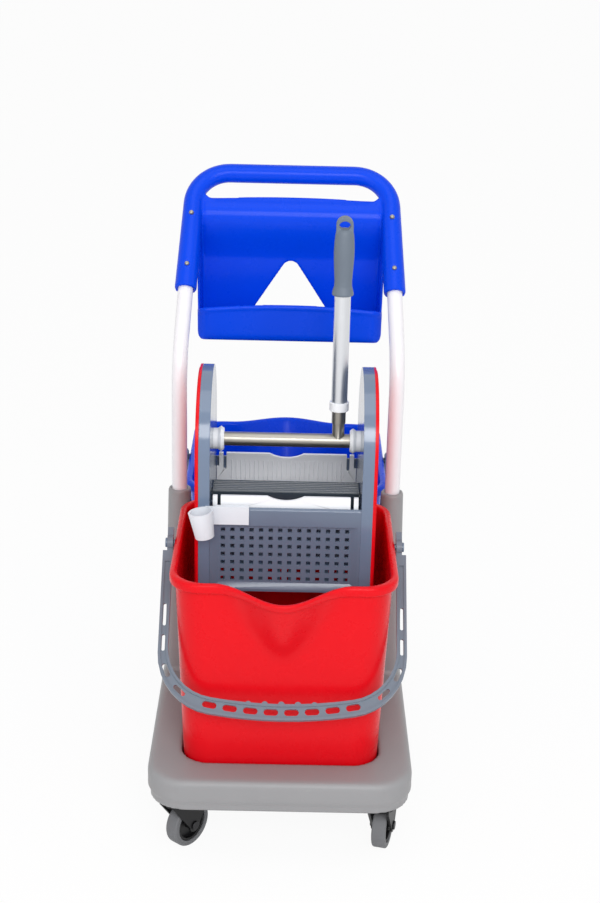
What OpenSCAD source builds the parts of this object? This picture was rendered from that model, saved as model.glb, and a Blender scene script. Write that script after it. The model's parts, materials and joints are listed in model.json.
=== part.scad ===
// Double mop bucket trolley: a moulded chassis on swivel casters, two lift-out buckets,
// a lever wringer that hangs in the front bucket, and a push handle with a bottle tray.
// Frame: +X right, +Y towards the push handle, +Z up, origin on the floor under the middle.

/* [Chassis] */
// Overall width of the chassis
base_w = 410; // [380:1:460]
// Overall length of the chassis
base_l = 800; // [780:1:880]
// Corner radius of the chassis seen from above
base_corner_r = 60; // [50:1:75]
// Height of the skirt's lower edge above the floor
skirt_z = 93; // [90:1:110]
// Height of the deck that surrounds the buckets
deck_z = 146; // [140:1:170]
// Height of the set-back band along the skirt's lower edge
band_h = 18; // [10:1:24]
// Set-back of that band
band_in = 4; // [2:0.5:7]
// Radius of the rounded deck edge
deck_round = 10; // [4:1:16]
// Wall thickness of the chassis moulding
base_wall = 4; // [3:0.5:6]
// Depth of the wells that the buckets stand in
well_depth = 34; // [20:1:38]
// Play between a bucket and its well
well_play = 2; // [1:0.5:5]
// Height of the tops of the two handle towers
tower_top_z = 467; // [420:1:500]
// Radius of the tower around the upright
tower_r = 19; // [17:0.5:21]
// Half length of a tower where it meets the deck
tower_foot = 46; // [30:1:50]
// Depth that the uprights stand in the towers
socket_depth = 135; // [80:1:180]

/* [Casters] */
// Wheel diameter
wheel_d = 75; // [70:1:78]
// Tyre width
tyre_w = 22; // [18:1:24]
// Radial thickness of the tyre
tyre_t = 9; // [6:0.5:12]
// Trail of the wheel behind the swivel axis
trail = 22; // [16:1:26]
// Swivel axis in from the chassis's side
caster_in_x = 47; // [40:1:55]
// Swivel axis in from the chassis's end
caster_in_y = 44; // [40:1:55]
// Swivel angles at rest: front left, front right, rear left, rear right
swivel_deg = [-40, -15, -62, 116]; // [-180:1:180]
// Axle radius
axle_r = 4; // [3:0.5:5]
// Stem radius
stem_r = 6; // [5:0.5:7]
// Thickness of the fork's cheeks
fork_t = 4; // [3:0.5:6]

/* [Buckets] */
// Height of a bucket
bucket_h = 344; // [300:1:370]
// Width of the bucket's wall under the rim
bucket_w = 328; // [310:1:330]
// Length of the bucket's wall under the rim
bucket_l = 324; // [300:1:326]
// Draft of the walls, in degrees
bucket_draft = 2.2; // [1:0.1:3]
// Corner radius under the rim
bucket_corner_r = 55; // [40:1:65]
// Wall thickness
bucket_wall = 3.5; // [2.5:0.5:5]
// Width of the rolled rim outside the wall
rim_w = 8; // [5:0.5:9]
// Height of the rolled rim
rim_h = 15; // [12:0.5:18]
// How far the pouring lip stands out
lip_out = 52; // [20:1:56]
// How far the pouring lip dips
lip_drop = 8; // [0:1:14]
// Half width of the pouring lip
lip_half_w = 104; // [60:1:106]
// Height below the rim where the lip's bulge starts
lip_depth = 150; // [100:1:180]
// Distance of each bucket's middle from the cross centre line
bucket_y = 188; // [187:1:192]

/* [Bails] */
// Width of the bail between its arms
bail_inner_w = 349; // [349:1:356]
// Thickness of an arm across the bail
bail_arm_w = 15.5; // [12:0.5:18]
// Reach from the pivot to the outside of the hand bar
bail_reach = 281; // [272:1:290]
// Width of the hand bar
bail_bar_w = 25; // [18:1:30]
// Thickness of the band
bail_t = 9; // [7:0.5:12]
// Outer corner radius
bail_corner_r = 95; // [80:1:110]
// Angle of the hand bar's bow at its ends
bail_bow = 9; // [4:1:14]
// Angle at which the bail hangs, from straight down
bail_hang = 44; // [42.5:0.5:50]
// Number of slots along the hand bar
bail_slots = 8; // [4:1:8]
// Length of a slot in the hand bar
bail_slot_l = 22; // [16:1:24]
// Width of a slot in the hand bar
bail_slot_w = 10; // [6:0.5:12]
// Distance from the pivot to the first slot in an arm
arm_slot_start = 100; // [90:1:104]
// Radius of the bail's pivot pin
bail_pin_r = 4.5; // [3:0.5:5]

/* [Uprights] */
// Upright in from the chassis's side
upright_in = 27.5; // [23:0.5:31]
// Tube diameter of the uprights
upright_d = 25; // [22:0.5:28]
// Tube wall of the uprights
upright_wall = 1.5; // [1:0.1:3]
// Height at which the bend starts
bend_z = 630; // [600:1:660]
// Bend radius at the tube's middle
bend_r = 140; // [100:1:160]
// Lean of the upper part from upright, in degrees
lean = 42; // [36:1:46]
// Inward turn of the bend, in degrees
toe_in = 3; // [1:0.5:5]
// Straight length of tube above the bend
upper_run = 228; // [220:1:240]

/* [Handle tray] */
// Distance from the bend to the mouth of the arms
arm_mouth = 78; // [60:1:90]
// Radius of the arms at the mouth
arm_r = 18.5; // [17:0.5:20]
// Radius of the push bar
bar_r = 16; // [13:0.5:17]
// Distance from the bend to the push bar's middle
bar_run = 300; // [290:1:310]
// Corner radius of the push bar
bar_corner_r = 62; // [50:1:75]
// Distance from the bend to the lower edge of the hand slot
slot_run = 247; // [240:1:256]
// Rise of the hand slot's lower edge at its middle
slot_arch = 8; // [4:1:12]
// Radius at the ends of the hand slot's lower edge
slot_end_r = 9; // [4:1:12]
// Depth of the tray from front to back
tray_depth = 104; // [90:1:108]
// Height of the tray's floor
tray_floor_z = 690; // [675:1:700]
// Height of the tray's front wall at its ends
tray_front_h = 52; // [40:1:60]
// Rise of the front wall's top edge at its middle
tray_arch = 9; // [4:1:14]
// Half width of the tray outside
tray_half_w = 158; // [157:0.5:160]
// Wall thickness of the tray
tray_wall = 4; // [3:0.5:6]
// Corner radius of the tray's front
tray_corner_r = 24; // [15:1:30]
// Radius of the tray's lower edges
tray_edge_r = 13; // [8:1:20]
// How much narrower each side of the tray is at its floor
tray_taper = 4; // [0:0.5:8]
// Radius of the bead along the tray's front edge
tray_bead_r = 4.5; // [3:0.5:6]
// How far the bead stands out of the tray's front
bead_out = 1.5; // [0.5:0.5:3]
// Half width of the arched opening at the tray's floor
arch_half_w = 76; // [50:1:90]
// Height of the arched opening
arch_h = 104; // [80:1:124]
// Height of the sill under the arched opening
arch_sill = 6; // [4:1:12]

/* [Wringer] */
// Inside width between the cheeks
jaw_w = 231; // [225:1:235]
// Thickness of a cheek
cheek_t = 17.5; // [16.5:0.5:20]
// Thickness of a cheek's shell
cheek_wall = 3; // [2:0.5:3.5]
// Thickness of the coloured cover
cover_t = 5.5; // [3:0.5:7]
// Radius of the cheek's round top
cheek_r = 117; // [110:1:120]
// Lever shaft ahead of the bucket's rear rim
shaft_back = 107; // [104:1:112]
// Lever shaft above the bucket's rim
shaft_up = 144; // [138:1:150]
// Depth of the wringer below the rim
basket_drop = 64; // [56:1:76]
// Room between the wringer and the bucket's rear corners
basket_play = 2; // [1:0.5:4]
// Radius of the lever shaft
shaft_r = 11; // [10:0.5:12]
// Bush flange radius
bush_r = 20; // [17:0.5:22]
// Bush flange thickness
bush_t = 10; // [6:0.5:11]
// Length of the bush's neck between the cheek and the flange
bush_neck = 7; // [3:0.5:8]
// Gear module
gear_m = 4; // [3.9:0.1:4.1]
// Teeth on a shaft pinion
pinion_teeth = 14; // [12:1:16]
// Teeth on the full circle of a jaw sector
sector_teeth = 30; // [28:1:32]
// Face width of the gears
gear_w = 9; // [6:0.5:10]
// Slope of the line from the shaft to the jaw pivot, from straight down
jaw_slope = 15; // [12:1:18]
// Width of the jaw beam from front to back
beam_l = 44; // [36:1:48]
// Height of the jaw beam
beam_h = 21; // [16:1:24]
// Number of ridges along the jaw beam
beam_ridges = 6; // [3:1:8]
// Radius of the jaw pivot
jaw_pin_r = 9; // [7:0.5:10]
// Thickness of the press plate
press_t = 6; // [4:0.5:8]
// Length of the press plate below the beam
press_drop = 102; // [80:1:104]
// Thickness of the front grille
grille_t = 9; // [7:0.5:11]
// Depth of the grille's recessed field
field_in = 5; // [3:0.5:5.5]
// Height of the grille above the rim
grille_up = 70; // [60:1:80]
// Columns of holes in the grille
grille_cols = 14; // [8:1:14]
// Rows of holes in the grille
grille_rows = 7; // [4:1:7]
// Pitch of the grille's holes
grille_pitch = 15; // [12:0.5:15]
// Width of a square hole in the grille
grille_hole = 6.5; // [4:0.5:8]
// Height of the white lip strips
lip_strip_h = 48; // [36:1:56]
// Thickness of the white lip strips
lip_strip_t = 6; // [4:0.5:8]
// Width of the white lip strips
lip_strip_w = 222; // [214:1:224]
// Height of the front lip strip above the grille
lip_strip_up = 21; // [10:1:28]
// Radius of the finger hollow in the lip strips
lip_hollow_r = 60; // [40:1:80]

/* [Lever] */
// Lever from the side centre line
lever_x = 80; // [40:1:90]
// Lever tube diameter
lever_d = 25; // [22:0.5:28]
// Wall of the lever tube
lever_wall = 1.5; // [1:0.1:2.5]
// Height of the lever tube's lower end above the shaft
lever_start = 54; // [40:1:60]
// Length of the lever above the shaft
lever_len = 358; // [320:1:370]
// Length of the grip
grip_len = 125; // [100:1:140]
// Radius of the grip
grip_r = 16; // [14.5:0.5:18]
// Half height of the hanging hole in the grip
grip_hole_r = 5.5; // [4:0.5:7]
// Width of the hanging hole in the grip
grip_hole_w = 17; // [14:0.5:20]

/* [Fits] */
// Clearance between pieces that seat in each other
seat_gap = 0.1; // [0.05:0.05:0.3]
// Radial clearance of turning pairs
run_gap = 0.1; // [0.05:0.05:0.3]
// Clearance between pieces that pass or rest on each other
pass_gap = 0.3; // [0.2:0.1:1]

/* [Hidden] */
$fn = 48;

grey = [0.58, 0.58, 0.57];
slate = [0.42, 0.47, 0.54];
red = [0.85, 0.10, 0.13];
blue = [0.05, 0.20, 0.85];
white = [0.93, 0.93, 0.91];
black = [0.09, 0.09, 0.10];
steel = [0.72, 0.72, 0.70];

// Cutters run this far past the faces that they open
cut = 1;
// Bends are this much slimmer than the straight stretches that they run into
bend_step = 0.1;

// Places that follow from the driving sizes
caster_x = base_w / 2 - caster_in_x;
caster_y = base_l / 2 - caster_in_y;
upright_x = base_w / 2 - upright_in;
well_z = deck_z - well_depth;
rim_z = well_z + bucket_h;
rim_half_l = bucket_l / 2 + rim_w;
rim_half_w = bucket_w / 2 + rim_w;
rear_rim_y = -bucket_y + rim_half_l;
upright_r = upright_d / 2;
socket_z = tower_top_z - socket_depth;

// Casters
wheel_r = wheel_d / 2;
hub_r = wheel_r - tyre_t;
fork_inside = tyre_w / 2 + 2;
fork_outside = fork_inside + fork_t;
crown_z = skirt_z + base_wall;
crown_h = 14;
crown_r = 22;
boss_r = 30;
stem_up = 26;
stem_head_r = 11;
stem_head_t = 4;
pedal_pin_r = 3;
pedal_y = trail + 24;
pedal_z = wheel_r + 39;
axle_head_r = 7;
axle_head_t = 2.5;

// Uprights and handle: the upper tubes lie in one leaning plane
bend_run = bend_r * (1 - cos(lean));
lean_y = bend_run * cos(toe_in);
lean_z = bend_z + bend_r * sin(lean);
lean_x = upright_x - bend_run * sin(toe_in);
plane_rise = sqrt(pow(sin(lean) * cos(toe_in), 2) + pow(cos(lean), 2));
plane_lean = atan2(sin(lean) * cos(toe_in), cos(lean));
arm_tilt = atan2(sin(lean) * sin(toe_in), plane_rise);
function plane_y(w) = lean_y + w * sin(plane_lean);
function plane_z(w) = lean_z + w * cos(plane_lean);
corner_turn = 90 - arm_tilt;
corner_tangent = bar_corner_r * tan(corner_turn / 2);
arm_end = bar_run / cos(arm_tilt) - corner_tangent;
corner_x = lean_x - arm_end * sin(arm_tilt) - bar_corner_r * cos(arm_tilt);
corner_w = arm_end * cos(arm_tilt) - bar_corner_r * sin(arm_tilt);
tray_back_y = plane_y(slot_run);
tray_front_y = tray_back_y - tray_depth;
tray_screw_first = 40;
tray_screw_pitch = 96;
tray_screw_run = [for (k = [0, 1]) arm_mouth + tray_screw_first + k * tray_screw_pitch];
tray_screw_r = 2.5;
tray_screw_head_r = 4.5;

// Wringer: positions of the lever shaft and the jaw pivot
shaft_y = rear_rim_y - shaft_back;
shaft_z = rim_z + shaft_up;
pinion_r = gear_m * pinion_teeth / 2;
sector_r = gear_m * sector_teeth / 2;
gear_centres = pinion_r + sector_r;
jaw_y = shaft_y - gear_centres * sin(jaw_slope);
jaw_z = shaft_z - gear_centres * cos(jaw_slope);
cheek_x = jaw_w / 2;
cover_x = cheek_x + cheek_t;
cheek_front = shaft_y - cheek_r;
cheek_back = shaft_y + cheek_r;
basket_z = rim_z - basket_drop;
foot_level = bucket_h - basket_drop;
foot_corner_r = bucket_corner(foot_level) - bucket_wall;
foot_over = max(0, cover_x + cover_t - bucket_half_w(foot_level) + bucket_wall + foot_corner_r);
foot_bow = sqrt(pow(foot_corner_r, 2) - pow(foot_over, 2));
foot_back = bucket_half_l(foot_level) - bucket_wall - foot_corner_r + foot_bow;
basket_back = -bucket_y + foot_back - basket_play;
grille_top = rim_z + grille_up;
beam_top = jaw_z + 14;
floor_t = 4;
back_t = 4;
gear_x = cheek_x + cheek_wall + 2;
flat_cut = 2;

// Plan outline with round corners
module rounded_plan(w, l, r) {
    square([w - 2 * r, l], center = true);
    square([w, l - 2 * r], center = true);
    for (x = [-1, 1], y = [-1, 1])
        translate([x * (w / 2 - r), y * (l / 2 - r)]) circle(r);
}

// Box with round upright corners, standing on z
module rounded_block(w, l, r, z, h) {
    translate([0, 0, z]) linear_extrude(h) rounded_plan(w, l, r);
}

// Draws what is given on the left and on the right
module both_sides() {
    children();
    mirror([1, 0, 0]) children();
}

// Turns a flat outline in (y, z) into a plate that starts at x and is t thick
module side_plate(x, t) {
    translate([x, 0, 0]) rotate([90, 0, 90]) linear_extrude(t) children();
}

// Rod along X
module rod_x(x, len, r) {
    translate([x, 0, 0]) rotate([0, 90, 0]) cylinder(h = len, r = r);
}

// Chassis

// Skirt section from the corner's centre outwards, with its rounded deck edge
module skirt_section(r, top, round_r) {
    polygon([[0, skirt_z], [r - band_in, skirt_z], [r - band_in, skirt_z + band_h - band_in],
        [r, skirt_z + band_h], [r, top - round_r], [r - round_r, top - round_r],
        [r - round_r, top], [0, top]]);
    translate([r - round_r, top - round_r]) circle(round_r);
}

// Body of the chassis: the skirt section taken round the plan
module skirt_body(inset, top, round_r) {
    w = base_w - 2 * inset;
    l = base_l - 2 * inset;
    r = base_corner_r - inset;
    dx = w / 2 - r;
    dy = l / 2 - r;
    for (a = [0 : 3]) {
        cx = (a == 0 || a == 3 ? 1 : -1) * dx;
        cy = (a < 2 ? 1 : -1) * dy;
        translate([cx, cy, 0]) rotate([0, 0, 90 * a])
            rotate_extrude(angle = 90) skirt_section(r, top, round_r);
    }
    both_sides() translate([dx, dy, 0]) rotate([90, 0, 0])
        linear_extrude(2 * dy) skirt_section(r, top, round_r);
    for (s = [0, 180]) rotate([0, 0, s]) translate([-dx, dy, 0]) rotate([90, 0, 90])
        linear_extrude(2 * dx) skirt_section(r, top, round_r);
    translate([-dx, -dy, skirt_z]) cube([2 * dx, 2 * dy, top - skirt_z]);
}

// Half size of the bucket's outer wall at a height above its bottom
function bucket_half_w(z) = bucket_w / 2 - (bucket_h - z) * tan(bucket_draft);
function bucket_half_l(z) = bucket_l / 2 - (bucket_h - z) * tan(bucket_draft);
function bucket_corner(z) = bucket_corner_r - (bucket_h - z) * tan(bucket_draft);

well_w = 2 * (bucket_half_w(well_depth) + well_play);
well_l = 2 * (bucket_half_l(well_depth) + well_play);
well_r = bucket_corner(well_depth) + well_play;

// Tower: a drafted blade that flares into the deck
module tower() {
    foot_r = tower_r / 2;
    hull() {
        translate([upright_x, 0, tower_top_z - tower_r]) cylinder(h = 6, r = tower_r, $fn = 32);
        for (y = [-1, 1]) {
            translate([base_w / 2 - foot_r - band_in, y * (tower_foot - foot_r), deck_z - base_wall])
                cylinder(h = 1, r = foot_r, $fn = 32);
            translate([upright_x - tower_r, y * (tower_foot - foot_r), deck_z - base_wall])
                cylinder(h = 1, r = foot_r, $fn = 32);
        }
    }
    translate([upright_x, 0, tower_top_z - tower_r]) cylinder(h = tower_r - 2, r = tower_r);
    translate([upright_x, 0, tower_top_z - 2]) cylinder(h = 2, r1 = tower_r, r2 = tower_r - 2);
}

module chassis() {
    thick_in = base_wall + band_in;
    color(grey) difference() {
        union() {
            difference() {
                skirt_body(0, deck_z, deck_round);
                rounded_block(base_w - 2 * thick_in, base_l - 2 * thick_in, base_corner_r - thick_in,
                    skirt_z - cut, deck_z - base_wall - skirt_z + cut);
                rounded_block(base_w - 2 * base_wall, base_l - 2 * base_wall, base_corner_r - base_wall,
                    skirt_z + band_h + base_wall, deck_z - deck_round - skirt_z - band_h - base_wall);
            }
            for (y = [-1, 1]) translate([0, y * bucket_y, 0])
                rounded_block(well_w + 2 * base_wall, well_l + 2 * base_wall, well_r + base_wall,
                    well_z - base_wall, well_depth);
            for (x = [-1, 1], y = [-1, 1]) translate([x * caster_x, y * caster_y, crown_z])
                cylinder(h = deck_z - base_wall / 2 - crown_z, r = boss_r);
            for (y = [-caster_y / 2, 0, caster_y / 2])
                translate([-base_w / 2 + base_wall, y - base_wall / 2, well_z - base_wall])
                    cube([base_w - 2 * base_wall, base_wall, well_depth]);
            both_sides() tower();
        }
        for (y = [-1, 1]) translate([0, y * bucket_y, 0])
            rounded_block(well_w, well_l, well_r, well_z, well_depth + cut);
        for (x = [-1, 1]) {
            translate([x * upright_x, 0, socket_z])
                cylinder(h = socket_depth + cut, r = upright_r + seat_gap);
            translate([x * upright_x, 0, bolt_z]) rotate([-90, 0, 0])
                cylinder(h = tower_foot, r = bolt_r + seat_gap);
            translate([x * upright_x, tower_r, bolt_z]) rotate([-90, 0, 0])
                cylinder(h = tower_foot, r = bolt_head_r + pass_gap);
        }
        for (x = [-1, 1], y = [-1, 1]) translate([x * caster_x, y * caster_y, crown_z - cut])
            cylinder(h = stem_up + cut, r = stem_r + seat_gap);
    }
}

// Uprights and their bolts
bolt_r = 3;
bolt_head_r = 6;
bolt_head_t = 4;
bolt_z = tower_top_z - tower_r - 14;

// Hollow straight stretch of an upright's tube
module tube(len) {
    difference() {
        cylinder(h = len, r = upright_r);
        translate([0, 0, -cut]) cylinder(h = len + 2 * cut, r = upright_r - upright_wall);
    }
}

// Upright: straight in the tower, bent back, then straight up the slope
module upright(side) {
    color(white) {
        difference() {
            translate([side * upright_x, 0, socket_z]) tube(bend_z - socket_z + cut);
            translate([side * upright_x, 0, bolt_z]) rotate([-90, 0, 0])
                cylinder(h = upright_d, r = bolt_r + seat_gap);
        }
        translate([side * upright_x, 0, 0]) rotate([0, 0, side * toe_in]) translate([0, bend_r, bend_z])
            rotate([90, 0, -90]) rotate_extrude(angle = lean) translate([bend_r, 0]) difference() {
                circle(upright_r - bend_step);
                circle(upright_r - upright_wall + bend_step);
            }
        difference() {
            translate([side * upright_x, 0, 0]) rotate([0, 0, side * toe_in])
                translate([0, bend_run, lean_z]) rotate([-lean, 0, 0]) translate([0, 0, -cut])
                    tube(upper_run + cut);
            ring_plane() for (w = tray_screw_run) on_arm(side, w) rotate([90, 0, 0])
                cylinder(h = upright_d, r = tray_screw_r + seat_gap);
        }
    }
}

module upright_bolts() {
    color(steel) both_sides() translate([upright_x, 0, bolt_z]) rotate([-90, 0, 0]) {
        translate([0, 0, upright_r - upright_wall - 4])
            cylinder(h = tower_r - upright_r + upright_wall + 5, r = bolt_r);
        translate([0, 0, tower_r]) cylinder(h = bolt_head_t, r = bolt_head_r);
    }
}

// Handle tray

// Moves to the leaning plane: x across, y up the slope, z out of its front
module ring_plane() {
    translate([0, lean_y, lean_z]) rotate([90 - plane_lean, 0, 0]) children();
}

// Moves along an arm's axis by w, with z pointing up the arm
module on_arm(side, w) {
    translate([side * lean_x, 0, 0]) rotate([0, 0, side * arm_tilt]) translate([0, w, 0])
        rotate([-90, 0, 0]) children();
}

module handle_loop() {
    ring_plane() {
        both_sides() {
            on_arm(1, arm_mouth) cylinder(h = arm_end - arm_mouth + cut, r1 = arm_r, r2 = bar_r);
            translate([corner_x, corner_w, 0]) rotate([0, 0, arm_tilt])
                rotate_extrude(angle = corner_turn) translate([bar_corner_r, 0]) circle(bar_r - bend_step);
        }
        translate([0, bar_run, 0]) rod_x(-corner_x - cut, 2 * (corner_x + cut), bar_r);
    }
}

// Side outline of the tray, in (y, z)
module tray_side() {
    polygon([[tray_front_y, tray_floor_z + tray_edge_r], [tray_front_y + tray_edge_r, tray_floor_z],
        [tray_back_y + tray_wall, tray_floor_z], [tray_back_y + tray_wall, plane_z(slot_run)],
        [plane_y(slot_run), plane_z(slot_run)], [plane_y(arm_mouth), plane_z(arm_mouth)],
        [tray_front_y, tray_floor_z + tray_front_h + tray_arch]]);
    translate([tray_front_y + tray_edge_r, tray_floor_z + tray_edge_r]) circle(tray_edge_r);
}

// Side outline of the tray's hollow, in (y, z)
module hollow_side(top_z) {
    front = tray_front_y + tray_wall;
    back = tray_back_y + tray_depth;
    low = tray_floor_z + tray_wall;
    r = tray_edge_r - tray_wall;
    polygon([[front, top_z], [front, low + r], [front + r, low], [back, low], [back, top_z]]);
    translate([front + r, low + r]) circle(r);
}

// Front outline of the tray, in (x, z): sides that draw in to round lower edges
module tray_front(inset, top_z) {
    low = tray_floor_z + inset;
    w = tray_half_w - inset;
    r = tray_edge_r - inset;
    foot = w - tray_taper;
    polygon([[-w, top_z], [-foot, low + r], [-foot + r, low], [foot - r, low], [foot, low + r], [w, top_z]]);
    for (s = [-1, 1]) translate([s * (foot - r), low + r]) circle(r);
}

// Plan outline of the tray, with round front corners
module tray_plan(inset) {
    r = tray_corner_r - inset;
    w = tray_half_w - inset;
    translate([-w, tray_front_y + tray_corner_r])
        square([2 * w, tray_depth + tray_wall - tray_corner_r - inset]);
    translate([-w + r, tray_front_y + inset]) square([2 * (w - r), tray_corner_r]);
    for (s = [-1, 1]) translate([s * (w - r), tray_front_y + tray_corner_r]) circle(r);
}

// Radius of the arched front edge
arch_r = (pow(tray_half_w, 2) + pow(tray_arch, 2)) / (2 * tray_arch);
front_edge_z = tray_floor_z + tray_front_h;

module tray_box() {
    top_z = plane_z(bar_run);
    difference() {
        intersection() {
            translate([0, 0, tray_floor_z]) linear_extrude(top_z - tray_floor_z) tray_plan(0);
            side_plate(-tray_half_w - cut, 2 * (tray_half_w + cut)) tray_side();
            translate([0, tray_back_y + tray_depth, 0]) rotate([90, 0, 0])
                linear_extrude(3 * tray_depth) tray_front(0, top_z + cut);
        }
        intersection() {
            translate([0, 0, tray_floor_z + tray_wall]) linear_extrude(top_z) tray_plan(tray_wall);
            side_plate(-tray_half_w, 2 * tray_half_w) hollow_side(2 * top_z);
            translate([0, tray_back_y + tray_depth, 0]) rotate([90, 0, 0])
                linear_extrude(3 * tray_depth) tray_front(tray_wall, top_z + 2 * cut);
        }
        translate([0, tray_front_y - cut, front_edge_z]) difference() {
            translate([-tray_half_w - cut, 0, 0]) cube([2 * (tray_half_w + cut), tray_corner_r, top_z]);
            translate([0, -cut, tray_arch - arch_r]) rotate([-90, 0, 0])
                cylinder(h = tray_depth, r = arch_r, $fn = 96);
        }
        translate([0, tray_back_y - tray_depth / 2, tray_floor_z + tray_wall + arch_sill])
            rotate([90, 0, 180])
            linear_extrude(tray_depth) back_arch();
    }
}

// Arched opening in the tray's back: straight slanted sides and a round crown
module back_arch() {
    crown_r = arch_half_w / 5;
    slant = atan2(arch_half_w - crown_r, arch_h - crown_r);
    polygon([[-arch_half_w, 0], [arch_half_w, 0],
        [crown_r * cos(slant), arch_h - crown_r + crown_r * sin(slant)],
        [-crown_r * cos(slant), arch_h - crown_r + crown_r * sin(slant)]]);
    translate([0, arch_h - crown_r]) circle(crown_r);
}

// Bead along the arched front edge, cut off round at the corners
module tray_bead() {
    end_deg = asin((tray_half_w + 2 * bead_out + cut) / arch_r);
    intersection() {
        translate([0, tray_front_y + tray_bead_r - bead_out, front_edge_z + tray_arch - arch_r])
            rotate([90, 0, 0]) rotate([0, 0, 90 - end_deg]) rotate_extrude(angle = 2 * end_deg, $fn = 96)
                translate([arch_r, 0]) circle(tray_bead_r);
        translate([0, 0, tray_floor_z]) linear_extrude(2 * tray_front_h) tray_plan(-bead_out - bend_step);
    }
}

// Band under the hand slot, with an arched upper edge and round corners into the arms
module slot_band() {
    band = 22;
    half = lean_x - slot_run * sin(arm_tilt) - bar_r / 2;
    edge = half - bar_r / 2;
    band_arch_r = (pow(edge, 2) + pow(slot_arch, 2)) / (2 * slot_arch);
    ring_plane() translate([0, 0, -tray_wall]) linear_extrude(2 * tray_wall) {
        intersection() {
            translate([-half, slot_run - band]) square([2 * half, band + slot_arch]);
            translate([0, slot_run + slot_arch - band_arch_r]) circle(band_arch_r, $fn = 180);
        }
        for (s = [-1, 1]) difference() {
            translate([s * (edge - slot_end_r / 2), slot_run]) square(slot_end_r + 2 * cut, center = true);
            translate([s * (edge - slot_end_r), slot_run + slot_end_r]) circle(slot_end_r);
        }
    }
}

module handle_tray() {
    color(blue) difference() {
        union() {
            handle_loop();
            tray_box();
            tray_bead();
            slot_band();
        }
        ring_plane() for (s = [-1, 1]) {
            on_arm(s, -cut) cylinder(h = upper_run + cut + pass_gap, r = upright_r + seat_gap);
            for (w = tray_screw_run) on_arm(s, w) rotate([90, 0, 0]) {
                cylinder(h = 2 * arm_r, r = tray_screw_r + seat_gap);
                translate([0, 0, screw_seat]) cylinder(h = arm_r, r = tray_screw_head_r + pass_gap);
            }
        }
    }
}

screw_seat = upright_r + 2.5;

module tray_screws() {
    color(steel) ring_plane() for (s = [-1, 1], w = tray_screw_run) on_arm(s, w) rotate([90, 0, 0]) {
        translate([0, 0, upright_r - upright_wall - 3])
            cylinder(h = screw_seat - upright_r + upright_wall + 4, r = tray_screw_r);
        translate([0, 0, screw_seat]) cylinder(h = 2.5, r1 = tray_screw_head_r, r2 = tray_screw_head_r - 1);
    }
}

// Casters: everything is drawn for a swivel axis at the origin, then turned and placed
corner_signs = [[-1, -1], [1, -1], [-1, 1], [1, 1]];

module at_caster(i) {
    translate([corner_signs[i][0] * caster_x, corner_signs[i][1] * caster_y, 0])
        rotate([0, 0, swivel_deg[i]]) children();
}

module caster_stems() {
    color(steel) for (i = [0 : 3]) at_caster(i) {
        translate([0, 0, crown_z - crown_h]) cylinder(h = crown_h + stem_up - cut, r = stem_r);
        translate([0, 0, crown_z - crown_h - stem_head_t]) cylinder(h = stem_head_t, r = stem_head_r);
    }
}

// Side outline of the fork, in (y, z): crown, sloping back and axle eye
module fork_side() {
    eye_r = axle_r + 7;
    polygon([[-crown_r, crown_z - pass_gap - crown_h], [-crown_r, crown_z - pass_gap],
        [crown_r, crown_z - pass_gap], [crown_r + 2, skirt_z - 2], [pedal_y + 6, pedal_z + 5],
        [pedal_y + 6, pedal_z - 4],
        [trail + eye_r, wheel_r], [trail - eye_r, wheel_r]]);
    translate([trail, wheel_r]) circle(eye_r);
}

module caster_fork(i) {
    fork_top = crown_z - pass_gap;
    color(black) at_caster(i) difference() {
        union() {
            translate([0, 0, fork_top - crown_h]) cylinder(h = crown_h, r = crown_r);
            both_sides() side_plate(fork_inside, fork_t) fork_side();
            translate([-fork_inside, 0, fork_top - crown_h / 2])
                cube([2 * fork_inside, crown_r - 2, crown_h / 2]);
        }
        translate([0, 0, fork_top - crown_h - cut]) cylinder(h = crown_h + 2 * cut, r = stem_r + run_gap);
        translate([0, 0, fork_top - crown_h - cut])
            cylinder(h = cut + stem_seat, r = stem_head_r + pass_gap);
        translate([0, trail, wheel_r])
            rod_x(-fork_outside - cut, 2 * (fork_outside + cut), axle_r + seat_gap);
        if (i < 2) translate([0, pedal_y, pedal_z])
            rod_x(-fork_outside - cut, 2 * (fork_outside + cut), pedal_pin_r + run_gap);
    }
}

stem_seat = pass_gap;

module caster_axle(i) {
    color(steel) at_caster(i) translate([0, trail, wheel_r]) {
        rod_x(-fork_outside - axle_head_t, 2 * (fork_outside + axle_head_t), axle_r);
        both_sides() rod_x(fork_outside, axle_head_t, axle_head_r);
    }
}

// Wheel hub: rim, web and boss, turned about its own axle
module wheel_hub(i) {
    rim_t = 4;
    web_t = 5;
    boss = axle_r + 5;
    color(black) at_caster(i) translate([0, trail, wheel_r]) rotate([0, 90, 0]) rotate_extrude() {
        translate([hub_r - rim_t, -tyre_w / 2 + 2]) square([rim_t, tyre_w - 4]);
        translate([axle_r + run_gap, -web_t / 2]) square([hub_r - axle_r - run_gap - 1, web_t]);
        translate([axle_r + run_gap, -tyre_w / 2]) square([boss - axle_r - run_gap, tyre_w]);
    }
}

// Tyre with a crowned tread
module wheel_tyre(i) {
    crown = 3;
    color([0.62, 0.62, 0.62]) at_caster(i) translate([0, trail, wheel_r]) rotate([0, 90, 0])
        rotate_extrude() {
        translate([hub_r + seat_gap, -tyre_w / 2]) square([tyre_t - seat_gap - crown, tyre_w]);
        translate([hub_r + seat_gap, -tyre_w / 2 + crown]) square([tyre_t - seat_gap, tyre_w - 2 * crown]);
        for (s = [-1, 1]) translate([wheel_r - crown, s * (tyre_w / 2 - crown)]) circle(crown);
    }
}

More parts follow.
